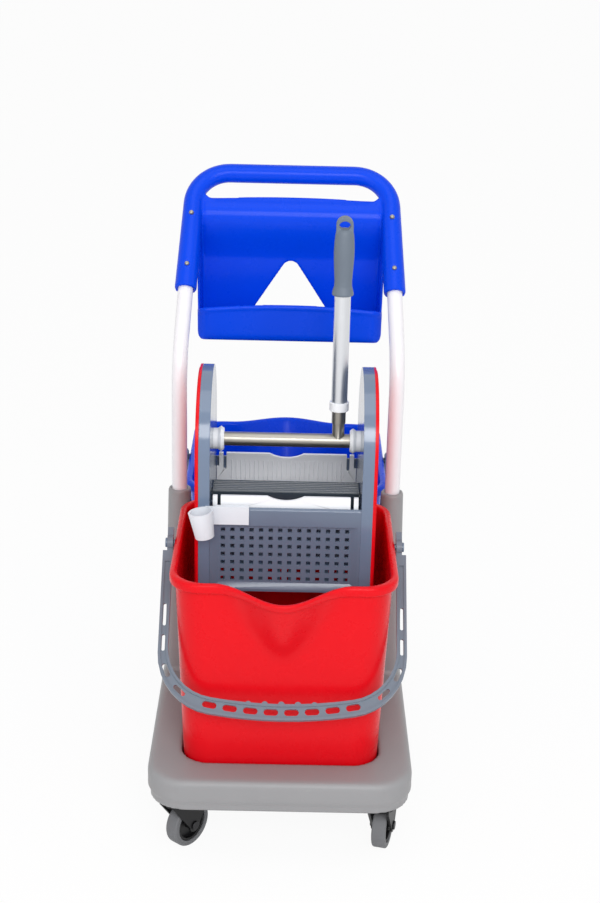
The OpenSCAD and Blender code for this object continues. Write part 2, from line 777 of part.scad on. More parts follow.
// Brake pedal: a curved tongue on a pin at the back of the fork, with a shoe above the tyre
module brake_pedal(i) {
    tongue_w = 2 * fork_inside - 2 * pass_gap;
    color(black) at_caster(i) translate([0, pedal_y, pedal_z]) {
        rod_x(-fork_outside, 2 * fork_outside, pedal_pin_r);
        side_plate(-tongue_w / 2, tongue_w) {
            circle(6);
            polygon([[0, 6], [8, 5], [30, -14], [34, -22], [28, -24], [24, -17], [6, -5], [-3, -5]]);
        }
    }
}

// Buckets: lofted rings of a rounded rectangle, with the pouring lip towards -Y
front_steps = 16;
corner_steps = 6;

// Lip bulge as a share of its reach, at x across and share t of the bulge's height
function lip_wave(x, t) =
    t <= 0 || abs(x) >= lip_half_w * t ? 0 : (1 + cos(180 * x / (lip_half_w * t))) / 2 * pow(t, 1.2);
function lip_share(z) = max(0, min(1, 1 - (bucket_h - z) / lip_depth));

// One ring: drawn at height z, sized as the wall is at height zs, grown outwards by g
function bucket_ring(z, zs, g) =
    let (hw = bucket_half_w(zs) + g, hl = bucket_half_l(zs) + g, r = bucket_corner(zs) + g, t = lip_share(zs))
    concat(
        [for (i = [1 : front_steps - 1])
            let (x = (hw - r) * (2 * i / front_steps - 1), s = lip_wave(x, t))
            [x, -hl - lip_out * s, z - lip_drop * s * t * t]],
        [for (c = [0 : 3], k = [0 : corner_steps])
            let (a = 90 * c - 90 + 90 * k / corner_steps,
                sx = c == 0 || c == 1 ? 1 : -1, sy = c == 1 || c == 2 ? 1 : -1)
            [sx * (hw - r) + r * cos(a), sy * (hl - r) + r * sin(a), z]]);

// Heights of the wall's rings
wall_levels = [0.03, 0.3, 0.56, 0.66, 0.75, 0.83, 0.9];
rim_low = bucket_h - rim_h;
inner_floor = bucket_wall;

bucket_rings = concat(
    [bucket_ring(0, 0, -7), bucket_ring(2, 2, -2)],
    [for (s = wall_levels) bucket_ring(s * bucket_h, s * bucket_h, 0)],
    [bucket_ring(rim_low, rim_low, 0), bucket_ring(rim_low, bucket_h, rim_w),
        bucket_ring(bucket_h - 4, bucket_h, rim_w), bucket_ring(bucket_h - 1, bucket_h, rim_w - 2),
        bucket_ring(bucket_h, bucket_h, rim_w / 2 - 2), bucket_ring(bucket_h - 2, bucket_h, -bucket_wall)],
    [for (k = [len(wall_levels) - 1 : -1 : 1])
        bucket_ring(wall_levels[k] * bucket_h, wall_levels[k] * bucket_h, -bucket_wall)],
    [bucket_ring(inner_floor + 10, inner_floor + 10, -bucket_wall),
        bucket_ring(inner_floor, inner_floor, -bucket_wall - 8)]);

module bucket_shell() {
    n = len(bucket_rings[0]);
    m = len(bucket_rings);
    points = concat([for (ring = bucket_rings) each ring], [[0, 0, 0], [0, 0, inner_floor]]);
    sides = [for (j = [0 : m - 2], i = [0 : n - 1])
        let (a = j * n + i, b = j * n + (i + 1) % n)
        each [[a, a + n, b], [b, a + n, b + n]]];
    caps = [for (i = [0 : n - 1])
        each [[m * n, i, (i + 1) % n], [m * n + 1, (m - 1) * n + (i + 1) % n, (m - 1) * n + i]]];
    polyhedron(points = points, faces = concat(sides, caps), convexity = 6);
}

// Places a bucket or what hangs on it: dir is -1 for the front one, 1 for the rear one
module at_bucket(dir) {
    translate([0, dir * bucket_y, well_z]) rotate([0, 0, dir < 0 ? 0 : 180]) children();
}

module front_bucket() {
    color(red) at_bucket(-1) bucket_shell();
}

module rear_bucket() {
    color(blue) at_bucket(1) bucket_shell();
}

// Bails
pivot_z = bucket_h - rim_h / 2 - 1;
ear_gap = 2;
ear_x = max(bail_inner_w / 2, rim_half_w + ear_gap);
ear_t = 9;
ear_r = 12;
bail_outer_w = 2 * ear_x + 2 * bail_arm_w;
bail_rim_t = 4;
bail_recess = 2;
arm_slot_l = [36, 26];
arm_slot_w = 5;
arm_slot_pitch = 50;
corner_slot_deg = [22, 47];
bail_gap = 2;

// Outline of one edge of the bail, in (x, reach): arms, round corners and a bowed bar
function bail_edge(half_w, depth, r) =
    let (uc = half_w - r, ue = uc + r * sin(bail_bow), k = tan(bail_bow) / (2 * ue),
        wc = depth - k * ue * ue - r * cos(bail_bow), steps = 8)
    concat([[half_w, 0]],
        [for (i = [0 : steps]) let (a = (90 - bail_bow) * i / steps) [uc + r * cos(a), wc + r * sin(a)]],
        [for (i = [1 : steps - 1]) let (u = ue * (1 - 2 * i / steps)) [u, depth - k * u * u]],
        [for (i = [steps : -1 : 0]) let (a = (90 - bail_bow) * i / steps)
            [-uc - r * cos(a), wc + r * sin(a)]],
        [[-half_w, 0]]);

// Middle of the band at an angle of its round corner
function corner_centre(half_w, depth, r) =
    let (uc = half_w - r, ue = uc + r * sin(bail_bow))
    [uc, depth - tan(bail_bow) * ue / 2 - r * cos(bail_bow)];
function bail_corner_mid(a) =
    let (inner_r = bail_corner_r - bail_arm_w)
    (corner_centre(bail_outer_w / 2, bail_reach, bail_corner_r)
        + corner_centre(ear_x, bail_reach - bail_bar_w, inner_r)
        + (bail_corner_r + inner_r) * [cos(a), sin(a)]) / 2;

// Angle at which the bail hangs: a short one is held out by the ends of its bar on the front wall
bail_end_r = bail_corner_r - bail_arm_w;
bail_end_reach = corner_centre(ear_x, bail_reach - bail_bar_w, bail_end_r).y + bail_end_r * cos(bail_bow);
bail_end_wall = bucket_half_l(pivot_z - bail_end_reach * cos(bail_hang));
bail_rest = max(bail_hang, asin((bail_end_wall + bail_t / 2 + bail_gap) / bail_end_reach));

// Band between an outer and an inner edge, drawn in by g on both
module bail_band(g) {
    difference() {
        polygon(bail_edge(bail_outer_w / 2 - g, bail_reach - g, bail_corner_r - g));
        translate([0, -cut]) square([2 * ear_x + 2 * g, 2 * cut], center = true);
        polygon(bail_edge(ear_x + g, bail_reach - bail_bar_w + g, bail_corner_r - bail_arm_w + g));
    }
}

// Round-ended slot along x
module slot_shape(len, w) {
    square([len - w, w], center = true);
    for (s = [-1, 1]) translate([s * (len - w) / 2, 0]) circle(w / 2, $fn = 24);
}

module bail_shape() {
    bar_mid = bail_reach - bail_bar_w / 2;
    slot_pitch = bail_slot_l + 9;
    bow_k = tan(bail_bow) / (bail_outer_w - 2 * bail_corner_r);
    difference() {
        union() {
            translate([0, 0, -bail_t / 2]) linear_extrude(bail_t) bail_band(0);
            for (k = [-2 : 2]) translate([k * bail_bar_w, bail_reach - bail_bar_w + 1, -bail_t / 2])
                cylinder(h = bail_t, r = 5, $fn = 24);
            both_sides() {
                rod_x(ear_x, ear_t, ear_r);
                translate([ear_x, -2 * ear_r, -bail_t / 2]) cube([ear_t, 3 * ear_r, bail_t]);
            }
        }
        for (s = [0, 1]) mirror([0, 0, s]) translate([0, ear_r + 6, bail_t / 2 - bail_recess])
            linear_extrude(bail_recess + cut) translate([0, -ear_r - 6]) difference() {
                bail_band(bail_rim_t);
                translate([-bail_outer_w / 2, -cut]) square([bail_outer_w, ear_r + 20 + cut]);
            }
        for (k = [0 : bail_slots - 1]) let (u = (k - (bail_slots - 1) / 2) * slot_pitch)
            translate([u, bar_mid - bow_k * u * u, -bail_t])
                rotate([0, 0, -atan(2 * bow_k * u)])
                    linear_extrude(2 * bail_t) slot_shape(bail_slot_l, bail_slot_w);
        both_sides() translate([0, 0, -bail_t]) linear_extrude(2 * bail_t) {
            for (k = [0, 1]) let (along = arm_slot_start + arm_slot_l[k] / 2 + arm_slot_pitch * k)
                translate([ear_x + bail_arm_w / 2, along])
                    rotate(90) slot_shape(arm_slot_l[k], arm_slot_w);
            for (a = corner_slot_deg) translate(bail_corner_mid(a))
                rotate(90 + a) slot_shape(bail_slot_l, (arm_slot_w + bail_slot_w) / 2);
        }
        rod_x(-bail_outer_w, 2 * bail_outer_w, bail_pin_r + run_gap);
        both_sides() rod_x(ear_x + ear_t, bail_arm_w, ear_r + 3);
    }
}

module bail(dir) {
    color(slate) at_bucket(dir) translate([0, 0, pivot_z]) rotate([180 + 90 - bail_rest, 0, 0])
        mirror([0, 0, 1]) bail_shape();
}

// Pivot pins: a shoulder on the rim, the pin and a snap head
module bail_pins(dir) {
    head_t = 3;
    color(slate) at_bucket(dir) translate([0, 0, pivot_z]) both_sides() {
        rod_x(rim_half_w, ear_x - rim_half_w - pass_gap, rim_h / 2 - 2);
        rod_x(rim_half_w, ear_x - rim_half_w + ear_t + head_t, bail_pin_r);
        rod_x(ear_x + ear_t + pass_gap, head_t, bail_pin_r + 3);
    }
}

// Wringer

// Outline of a cheek in (y, z): round top, straight front, and a step that hooks over the rear rim
module cheek_outline(g) {
    translate([shaft_y, shaft_z]) circle(cheek_r - g, $fn = 96);
    translate([cheek_front + g, hook_z + g]) square([2 * (cheek_r - g), shaft_z - hook_z - g]);
    translate([cheek_front + g, basket_z + g])
        square([basket_back - cheek_front - 2 * g, shaft_z - basket_z - g]);
}

hook_z = rim_z + pass_gap;
bush_barrel_r = shaft_r + 4;
bush_neck_r = bush_barrel_r + 1.5;

module cheek() {
    difference() {
        side_plate(cheek_x, cheek_t) cheek_outline(0);
        side_plate(cheek_x + cheek_wall, cheek_t) cheek_outline(cheek_wall);
        translate([0, shaft_y, shaft_z]) rod_x(cheek_x - cut, 2 * cheek_wall, bush_barrel_r + seat_gap);
        translate([0, jaw_y, jaw_z]) rod_x(cheek_x - cut, 2 * cheek_wall, jaw_pin_r + run_gap);
    }
    for (p = screw_points) translate([0, p[0], p[1]]) difference() {
        rod_x(cheek_x + cheek_wall / 2, cheek_t - cheek_wall / 2, 6);
        rod_x(cheek_x + cheek_wall, cheek_t, cover_screw_r + seat_gap);
    }
}

// Screws of the covers: two at the foot, one at the top
cover_screw_r = 2;
cover_screw_len = 9;
screw_points = [[cheek_front + 14, basket_z + 14], [basket_back - 14, basket_z + 14],
    [shaft_y, shaft_z + cheek_r - 14], [cheek_back - 14, rim_z + 34]];

// Cover: a lidded plate with a raised middle
module cover() {
    edge = 5;
    difference() {
        union() {
            side_plate(cover_x, cover_t - 2) cheek_outline(0);
            side_plate(cover_x + cover_t - 2 - cut, 2 + cut) cheek_outline(edge);
        }
        for (p = screw_points) translate([0, p[0], p[1]]) {
            rod_x(cover_x - cut, 2 * cover_t, cover_screw_r + seat_gap);
            rod_x(cover_x + cover_t - 2, cover_t, 2 * cover_screw_r + pass_gap);
        }
    }
}

module cover_screws() {
    color(steel) both_sides() for (p = screw_points) translate([0, p[0], p[1]]) {
        rod_x(cover_x + cover_t - cover_screw_len, cover_screw_len - 1, cover_screw_r);
        rod_x(cover_x + cover_t - 2, 1.8, 2 * cover_screw_r);
    }
}

// Front grille: a framed panel between the cheeks with a field of square holes
grille_w = jaw_w - 2 * seat_gap;
grille_y = cheek_front;
rail_h = 26;
frame_w = 4;
field_slope_w = 9;
field_w = grille_w - 2 * (frame_w + field_slope_w);
field_top = grille_top - rail_h;
field_edge = 2;
field_low = basket_z + frame_w + field_slope_w;

module front_grille() {
    hole_step_z = min(grille_pitch, (field_top - field_low) / grille_rows);
    hole_step_x = min(grille_pitch, field_w / grille_cols);
    field_mid = (field_top + field_low) / 2;
    color(slate) difference() {
        union() {
            translate([-grille_w / 2, grille_y, basket_z])
                cube([grille_w, grille_t, grille_top - basket_z]);
            translate([0, grille_y + grille_t / 2, grille_top]) rod_x(-grille_w / 2, grille_w, grille_t / 2);
        }
        hull() {
            translate([-field_w / 2 - field_slope_w, grille_y - cut, field_low - field_slope_w])
                cube([field_w + 2 * field_slope_w, cut, field_top - field_low + field_slope_w + field_edge]);
            translate([-field_w / 2, grille_y, field_low]) cube([field_w, field_in, field_top - field_low]);
        }
        for (i = [0 : grille_cols - 1], k = [0 : grille_rows - 1])
            translate([(i - (grille_cols - 1) / 2) * hole_step_x - grille_hole / 2, grille_y - cut,
                    field_mid + (k - (grille_rows - 1) / 2) * hole_step_z - grille_hole / 2])
                cube([grille_hole, grille_t + 2 * cut, grille_hole]);
    }
}

// Back wall: lower wall inside the bucket, ledge over the rear rim, upper wall behind the rear lip
back_up = 72;
back_top = rim_z + back_up;
back_upper_y = cheek_back - back_t - 3;

module back_wall() {
    color(slate) translate([-grille_w / 2, 0, 0]) rotate([90, 0, 90]) linear_extrude(grille_w) polygon([
        [basket_back - back_t, basket_z], [basket_back, basket_z], [basket_back, hook_z],
        [back_upper_y + back_t, hook_z], [back_upper_y + back_t, back_top], [back_upper_y, back_top],
        [back_upper_y, hook_z + back_t], [basket_back - back_t, hook_z + back_t]]);
}

// Drain floor: a slotted plate between the grille and the back wall
module drain_floor() {
    y0 = grille_y + grille_t;
    y1 = basket_back - back_t;
    slots = 9;
    step = grille_w / slots;
    color(slate) translate([0, 0, basket_z]) linear_extrude(floor_t) difference() {
        translate([-grille_w / 2, y0]) square([grille_w, y1 - y0]);
        for (i = [0 : slots - 1], s = [-1, 1])
            translate([(i - (slots - 1) / 2) * step, (y0 + y1) / 2 + s * (y1 - y0) / 4])
                rotate([0, 0, 90]) slot_shape((y1 - y0) / 2 - step / 2, step / 2);
    }
}

// Lip strips: white pads with fine upright ribs, hollowed in the middle of the top edge
module lip_outline() {
    hollow_depth = 7;
    notch_w = 4;
    slot_w = 5;
    tab_w = 7;
    difference() {
        union() {
            translate([-lip_strip_w / 2, 0]) square([lip_strip_w, lip_strip_h]);
            translate([-lip_strip_w / 2 - notch_w, 0]) square([lip_strip_w + 2 * notch_w, lip_strip_h / 2]);
        }
        translate([0, lip_strip_h - hollow_depth + lip_hollow_r]) circle(lip_hollow_r, $fn = 96);
        for (s = [-1, 1]) translate([s * (lip_strip_w / 2 - tab_w - slot_w / 2), lip_strip_h])
            rotate(90) slot_shape(1.2 * lip_strip_h, slot_w);
    }
}

// Strip standing at height z with its ribbed face towards -Y when face is -1
module lip_strip(y, z, face) {
    rib_step = 7.5;
    rib_t = 1.2;
    ribs = floor(lip_strip_w / 2 / rib_step) - 2;
    color(white) translate([0, y, z]) rotate([90, 0, 0]) {
        translate([0, 0, -lip_strip_t]) linear_extrude(lip_strip_t) lip_outline();
        for (k = [-ribs : ribs])
            translate([k * rib_step - rib_t / 2, 2, face < 0 ? -cut : -lip_strip_t - rib_t])
            cube([rib_t, lip_strip_h - 14, rib_t + cut]);
    }
}

front_lip_z = grille_top + lip_strip_up - lip_strip_h;
rear_lip_z = back_top + 8 - lip_strip_h;

module front_lip() {
    lip_strip(grille_y + grille_t + seat_gap, front_lip_z, 1);
}

module rear_lip() {
    lip_strip(back_upper_y - lip_strip_t - seat_gap, rear_lip_z, -1);
}

// Shaft bush: domed flange on the cheek's inner face, barrel through its wall
module shaft_bush() {
    color(white) translate([cheek_x, shaft_y, shaft_z]) rotate([0, 90, 0]) rotate_extrude() difference() {
        union() {
            translate([0, -seat_gap - cut]) square([bush_barrel_r, cheek_wall + seat_gap + cut]);
            translate([0, -bush_neck - cut]) square([bush_neck_r, bush_neck + cut - seat_gap]);
            polygon([[0, -bush_neck - bush_t], [bush_r - bush_t / 3, -bush_neck - bush_t],
                [bush_r, -bush_neck - bush_t / 2], [bush_r - bush_t / 3, -bush_neck], [0, -bush_neck]]);
        }
        translate([0, -2 * (bush_t + bush_neck)]) square([shaft_r + run_gap, 4 * (bush_t + bush_neck)]);
    }
}

// Mop clip: a saddle over the grille's rail, and an open tapered cup ahead of the left cheek
clip_t = 3;
cup_h = 42;
cup_r = 19;
cup_foot_r = 14.5;
cup_lean = 9;
clip_start = 8;
clip_end = 60;

module mop_clip() {
    x1 = -cheek_x + clip_end;
    x0 = -cheek_x + clip_start;
    front = grille_y - clip_t - pass_gap;
    top = grille_top + grille_t / 2 + pass_gap;
    cup_x = -cheek_x - cup_r + 13;
    cup_y = front - cup_r + clip_t;
    cup_top = top + 2;
    color(white) difference() {
        union() {
            translate([x0, front, top - rail_h]) cube([x1 - x0, clip_t, rail_h + clip_t]);
            translate([x0, front, top]) cube([x1 - x0, grille_y - front + grille_t / 2, clip_t]);
            translate([cup_x, front, top - rail_h]) cube([x0 - cup_x + cut, clip_t, rail_h + clip_t]);
            translate([cup_x, cup_y, cup_top - cup_h]) rotate([0, -cup_lean, 0])
                cylinder(h = cup_h, r1 = cup_foot_r, r2 = cup_r);
        }
        translate([cup_x, cup_y, cup_top - cup_h]) rotate([0, -cup_lean, 0]) translate([0, 0, -cut])
            cylinder(h = cup_h + 2 * cut, r1 = cup_foot_r - clip_t, r2 = cup_r - clip_t);
    }
}

// Lever shaft: a cross tube with a welded stub that holds the lever
stub_r = lever_d / 2 - lever_wall - seat_gap;
neck_r = 9.5;
neck_h = 30;
stub_in = 60;
stub_h = lever_start + stub_in;
shaft_half = gear_x + gear_w;

module cross_shaft() {
    color(steel) translate([0, shaft_y, shaft_z]) difference() {
        union() {
            rod_x(-shaft_half, 2 * shaft_half, shaft_r);
            translate([lever_x, 0, 0]) cylinder(h = neck_h + cut, r = neck_r);
            translate([lever_x, 0, neck_h]) cylinder(h = stub_h - neck_h, r = stub_r);
        }
        rod_x(-shaft_half - cut, 2 * (shaft_half + cut), shaft_r - 2);
    }
}

// Involute gears, drawn flat with the first tooth along +X
pressure = 25;
backlash_deg = 0.55;
function inv_deg(a) = tan(a) * 180 / PI - a;
function flank(r, base_r, half) = half - (r > base_r ? inv_deg(acos(base_r / r)) : 0);

module tooth(r, teeth) {
    base_r = r * cos(pressure);
    root = r - 1.25 * gear_m;
    tip = r + 0.9 * gear_m;
    half = 90 / teeth + inv_deg(pressure) - backlash_deg * pinion_teeth / teeth;
    radii = [for (k = [0 : 5]) max(base_r, root) + (tip - max(base_r, root)) * k / 5];
    left = concat([[root - 1, half]], [for (q = radii) [q, flank(q, base_r, half)]]);
    polygon(concat([for (p = left) p[0] * [cos(p[1]), -sin(p[1])]],
        [for (k = [len(left) - 1 : -1 : 0]) left[k][0] * [cos(left[k][1]), sin(left[k][1])]]));
}

// Direction from the shaft to the jaw pivot, as an angle in the (y, z) plane
mesh_deg = -90 - jaw_slope;

module pinion() {
    color(black) translate([gear_x, shaft_y, shaft_z]) rotate([90, 0, 90]) linear_extrude(gear_w)
        difference() {
            union() {
                circle(pinion_r - 1.25 * gear_m);
                for (k = [0 : pinion_teeth - 1])
                    rotate(mesh_deg + 180 / pinion_teeth + 360 / pinion_teeth * k)
                        tooth(pinion_r, pinion_teeth);
            }
            circle(shaft_r + seat_gap);
        }
}

// Jaw sector: only the teeth that the pinion meets, on a wedge with a hub
sector_first = -2;
sector_last = 5;

module jaw_sector() {
    pitch = 360 / sector_teeth;
    root = sector_r - 1.25 * gear_m;
    a0 = (sector_first - 0.6) * pitch;
    a1 = (sector_last + 0.6) * pitch;
    color(black) translate([gear_x, jaw_y, jaw_z]) rotate([90, 0, 90]) linear_extrude(gear_w)
        difference() {
            union() {
                circle(jaw_pin_r + 7);
                rotate(mesh_deg + 180) {
                    intersection() {
                        circle(root, $fn = 96);
                        polygon(concat([[0, 0]], [for (k = [0 : 6]) let (a = a0 + (a1 - a0) * k / 6)
                            1.2 * root * [cos(a), sin(a)]]));
                    }
                    for (k = [sector_first : sector_last]) rotate(k * pitch) tooth(sector_r, sector_teeth);
                }
            }
            difference() {
                circle(jaw_pin_r + seat_gap);
                translate([jaw_pin_r - flat_cut + seat_gap, -jaw_pin_r - cut])
                    square(2 * (jaw_pin_r + cut));
            }
        }
}

// Jaw beam: ridged along its top, with flatted pivots through the cheeks
module jaw_beam() {
    beam_w = jaw_w - 2;
    pin_len = cheek_wall + 2 + gear_w + 1;
    ridge = beam_l / beam_ridges;
    color(slate) difference() {
        union() {
            translate([-beam_w / 2, jaw_y - beam_l / 2, beam_top - beam_h]) cube([beam_w, beam_l, beam_h]);
            for (k = [0 : beam_ridges - 1])
                translate([0, jaw_y + (k - (beam_ridges - 1) / 2) * ridge, beam_top])
                    rod_x(-beam_w / 2, beam_w, ridge * 0.36);
            both_sides() translate([0, jaw_y, jaw_z]) rod_x(beam_w / 2 - cut, pin_len + 1 + cut, jaw_pin_r);
        }
        both_sides() translate([gear_x - 1, jaw_y + jaw_pin_r - flat_cut, jaw_z - jaw_pin_r])
            cube([2 * gear_w, jaw_pin_r, 2 * jaw_pin_r]);
        translate([-press_w / 2 - pass_gap, jaw_y - press_t / 2 - seat_gap, beam_top - beam_h - cut])
            cube([press_w + 2 * pass_gap, press_t + 2 * seat_gap, press_seat + cut]);
    }
}

press_w = jaw_w - 14;
press_seat = 8;

// Press plate: hangs from the beam's groove, with upright ribs on its front
module press_plate() {
    low = beam_top - beam_h - press_drop;
    ribs = 8;
    color(slate) {
        translate([-press_w / 2, jaw_y - press_t / 2, low])
            cube([press_w, press_t, press_drop + press_seat - seat_gap]);
        for (k = [0 : ribs])
            translate([-press_w / 2 + k * (press_w - 4) / ribs, jaw_y - press_t / 2 - 5, low])
            cube([4, 5 + cut, press_drop - 4]);
    }
}

// Lever
lever_r = lever_d / 2;
grip_hole_drop = 15;
lever_top = lever_len - 2 * grip_hole_drop;

module at_lever() {
    translate([lever_x, shaft_y, shaft_z]) children();
}

module lever_tube() {
    color([0.82, 0.83, 0.84]) at_lever() translate([0, 0, lever_start]) difference() {
        cylinder(h = lever_top - lever_start, r = lever_r);
        translate([0, 0, -cut]) cylinder(h = lever_top - lever_start + 2 * cut, r = lever_r - lever_wall);
    }
}

// Collar: closes the tube's lower end around the stub
module lever_collar() {
    collar_h = 14;
    collar_t = 2.5;
    color(white) at_lever() translate([0, 0, lever_start - collar_t]) difference() {
        cylinder(h = collar_h, r = lever_r + seat_gap + collar_t);
        translate([0, 0, collar_t - seat_gap]) cylinder(h = collar_h, r = lever_r + seat_gap);
        translate([0, 0, -cut]) cylinder(h = collar_h, r = stub_r + seat_gap);
    }
}

// Grip: a barrel sleeve with a flared lower end and a flat hanging loop on top
module lever_grip() {
    loop_t = 15;
    loop_rise = 2 * grip_hole_drop;
    waist_r = lever_r + 2;
    flare = 1.5;
    flare_h = 7;
    body = grip_len - loop_rise;
    waist_z = 0.2 * body;
    top_r = waist_r - 0.5;
    color(slate) at_lever() translate([0, 0, lever_len - grip_len]) difference() {
        union() {
            rotate_extrude() polygon(concat(
                [[0, 0], [grip_r + flare, 0], [grip_r + flare, flare_h / 2], [waist_r, flare_h + 5]],
                [for (k = [0 : 8]) let (t = k / 8)
                    [waist_r + (grip_r - waist_r) * sin(180 * t) - (waist_r - top_r) * t,
                        waist_z + (body - waist_z) * t]],
                [[0, body]]));
            translate([0, loop_t / 2, body - cut]) rotate([90, 0, 0]) linear_extrude(loop_t) {
                translate([-top_r, 0]) square([2 * top_r, loop_rise - top_r + cut]);
                translate([0, loop_rise - top_r + cut]) circle(top_r);
            }
        }
        translate([0, 0, -cut])
            cylinder(h = lever_top - lever_len + grip_len + cut + pass_gap, r = lever_r + seat_gap);
        translate([0, loop_t, grip_len - grip_hole_drop]) rotate([90, 0, 0]) linear_extrude(2 * loop_t)
            slot_shape(grip_hole_w, 2 * grip_hole_r);
    }
}

chassis();
upright(-1);  // upright_left
upright(1);  // upright_right
upright_bolts();
handle_tray();
tray_screws();
caster_stems();
caster_fork(0);  // caster_fork_fl
caster_fork(1);  // caster_fork_fr
caster_fork(2);  // caster_fork_rl
caster_fork(3);  // caster_fork_rr
caster_axle(0);  // caster_axle_fl
caster_axle(1);  // caster_axle_fr
caster_axle(2);  // caster_axle_rl
caster_axle(3);  // caster_axle_rr
wheel_hub(0);  // wheel_hub_fl
wheel_hub(1);  // wheel_hub_fr
wheel_hub(2);  // wheel_hub_rl
wheel_hub(3);  // wheel_hub_rr
wheel_tyre(0);  // wheel_tyre_fl
wheel_tyre(1);  // wheel_tyre_fr
wheel_tyre(2);  // wheel_tyre_rl
wheel_tyre(3);  // wheel_tyre_rr
brake_pedal(0);  // brake_pedal_fl
brake_pedal(1);  // brake_pedal_fr
front_bucket();
bail(-1);  // front_bail
bail_pins(-1);  // front_bail_pins
rear_bucket();
bail(1);  // rear_bail
bail_pins(1);  // rear_bail_pins
mirror([1, 0, 0]) color(slate) cheek();  // cheek_left
color(slate) cheek();  // cheek_right
mirror([1, 0, 0]) color(red) cover();  // cover_left
color(red) cover();  // cover_right
cover_screws();
front_grille();
back_wall();
drain_floor();
front_lip();
rear_lip();
mirror([1, 0, 0]) shaft_bush();  // shaft_bush_left
shaft_bush();  // shaft_bush_right
mop_clip();
cross_shaft();
mirror([1, 0, 0]) pinion();  // pinion_left
pinion();  // pinion_right
lever_tube();
lever_collar();
lever_grip();
jaw_beam();
press_plate();
mirror([1, 0, 0]) jaw_sector();  // jaw_sector_left
jaw_sector();  // jaw_sector_right
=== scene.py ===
"""Looks of a double mop bucket trolley: moulded chassis, two buckets, geared wringer and handle tray."""

import json
import math

import bmesh
import bpy
from mathutils import Matrix, Vector
from mathutils.geometry import interpolate_bezier


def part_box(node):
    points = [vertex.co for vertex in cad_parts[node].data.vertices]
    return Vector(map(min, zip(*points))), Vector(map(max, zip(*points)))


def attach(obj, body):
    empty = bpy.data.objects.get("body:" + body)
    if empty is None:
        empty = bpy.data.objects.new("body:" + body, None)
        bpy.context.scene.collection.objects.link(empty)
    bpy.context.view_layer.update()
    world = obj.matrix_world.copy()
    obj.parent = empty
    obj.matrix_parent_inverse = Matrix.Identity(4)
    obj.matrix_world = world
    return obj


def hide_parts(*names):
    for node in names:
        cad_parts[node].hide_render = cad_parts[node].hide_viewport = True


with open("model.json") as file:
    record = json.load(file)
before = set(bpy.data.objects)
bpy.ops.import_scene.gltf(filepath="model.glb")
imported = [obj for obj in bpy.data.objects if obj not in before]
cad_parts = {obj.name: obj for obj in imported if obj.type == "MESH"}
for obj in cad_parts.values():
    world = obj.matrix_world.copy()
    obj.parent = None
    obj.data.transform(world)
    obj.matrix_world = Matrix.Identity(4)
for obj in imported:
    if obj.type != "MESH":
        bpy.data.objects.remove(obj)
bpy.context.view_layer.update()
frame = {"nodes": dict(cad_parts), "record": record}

MM = 0.001
NOISE_MIDDLE = 0.5
WELD = 0.005 * MM
FLAT_DEG = 0.6
BODY_OF = {
    node: body for body, nodes in frame["record"]["behaviour"]["bodies"].items() for node in nodes
}
SLOT_OF = {part["node"]: part["material_slot"] for part in frame["record"]["subparts"]}


# Colours as they are read off the object

def tone(hex_code):
    """Linear colour of a six-digit sRGB colour."""
    channels = [int(hex_code[i:i + 2], 16) / 255 for i in (0, 2, 4)]
    linear = [c / 12.92 if c <= 0.04045 else ((c + 0.055) / 1.055) ** 2.4 for c in channels]
    return (*linear, 1.0)


# Shared shader effects

def new_group(name, inputs, outputs):
    """Empty shader group with its named sockets, and its input and output nodes."""
    group = bpy.data.node_groups.new(name, "ShaderNodeTree")
    for title, kind, value in inputs:
        socket = group.interface.new_socket(title, in_out="INPUT", socket_type=kind)
        socket.default_value = value
    for title, kind in outputs:
        group.interface.new_socket(title, in_out="OUTPUT", socket_type=kind)
    return group, group.nodes.new("NodeGroupInput"), group.nodes.new("NodeGroupOutput")


def noise(group, place, scale, detail, rough=0.55):
    """Noise texture on the given coordinates."""
    node = group.nodes.new("ShaderNodeTexNoise")
    node.inputs["Detail"].default_value = detail
    node.inputs["Roughness"].default_value = rough
    group.links.new(place, node.inputs["Vector"])
    if isinstance(scale, (int, float)):
        node.inputs["Scale"].default_value = scale
    else:
        group.links.new(scale, node.inputs["Scale"])
    return node.outputs["Fac"]


def math_node(tree, kind, a, b, clamp=False):
    """One math node; a and b are sockets or numbers."""
    node = tree.nodes.new("ShaderNodeMath")
    node.operation = kind
    node.use_clamp = clamp
    for socket, value in zip(node.inputs, (a, b)):
        if isinstance(value, (int, float)):
            socket.default_value = value
        else:
            tree.links.new(value, socket)
    return node.outputs[0]


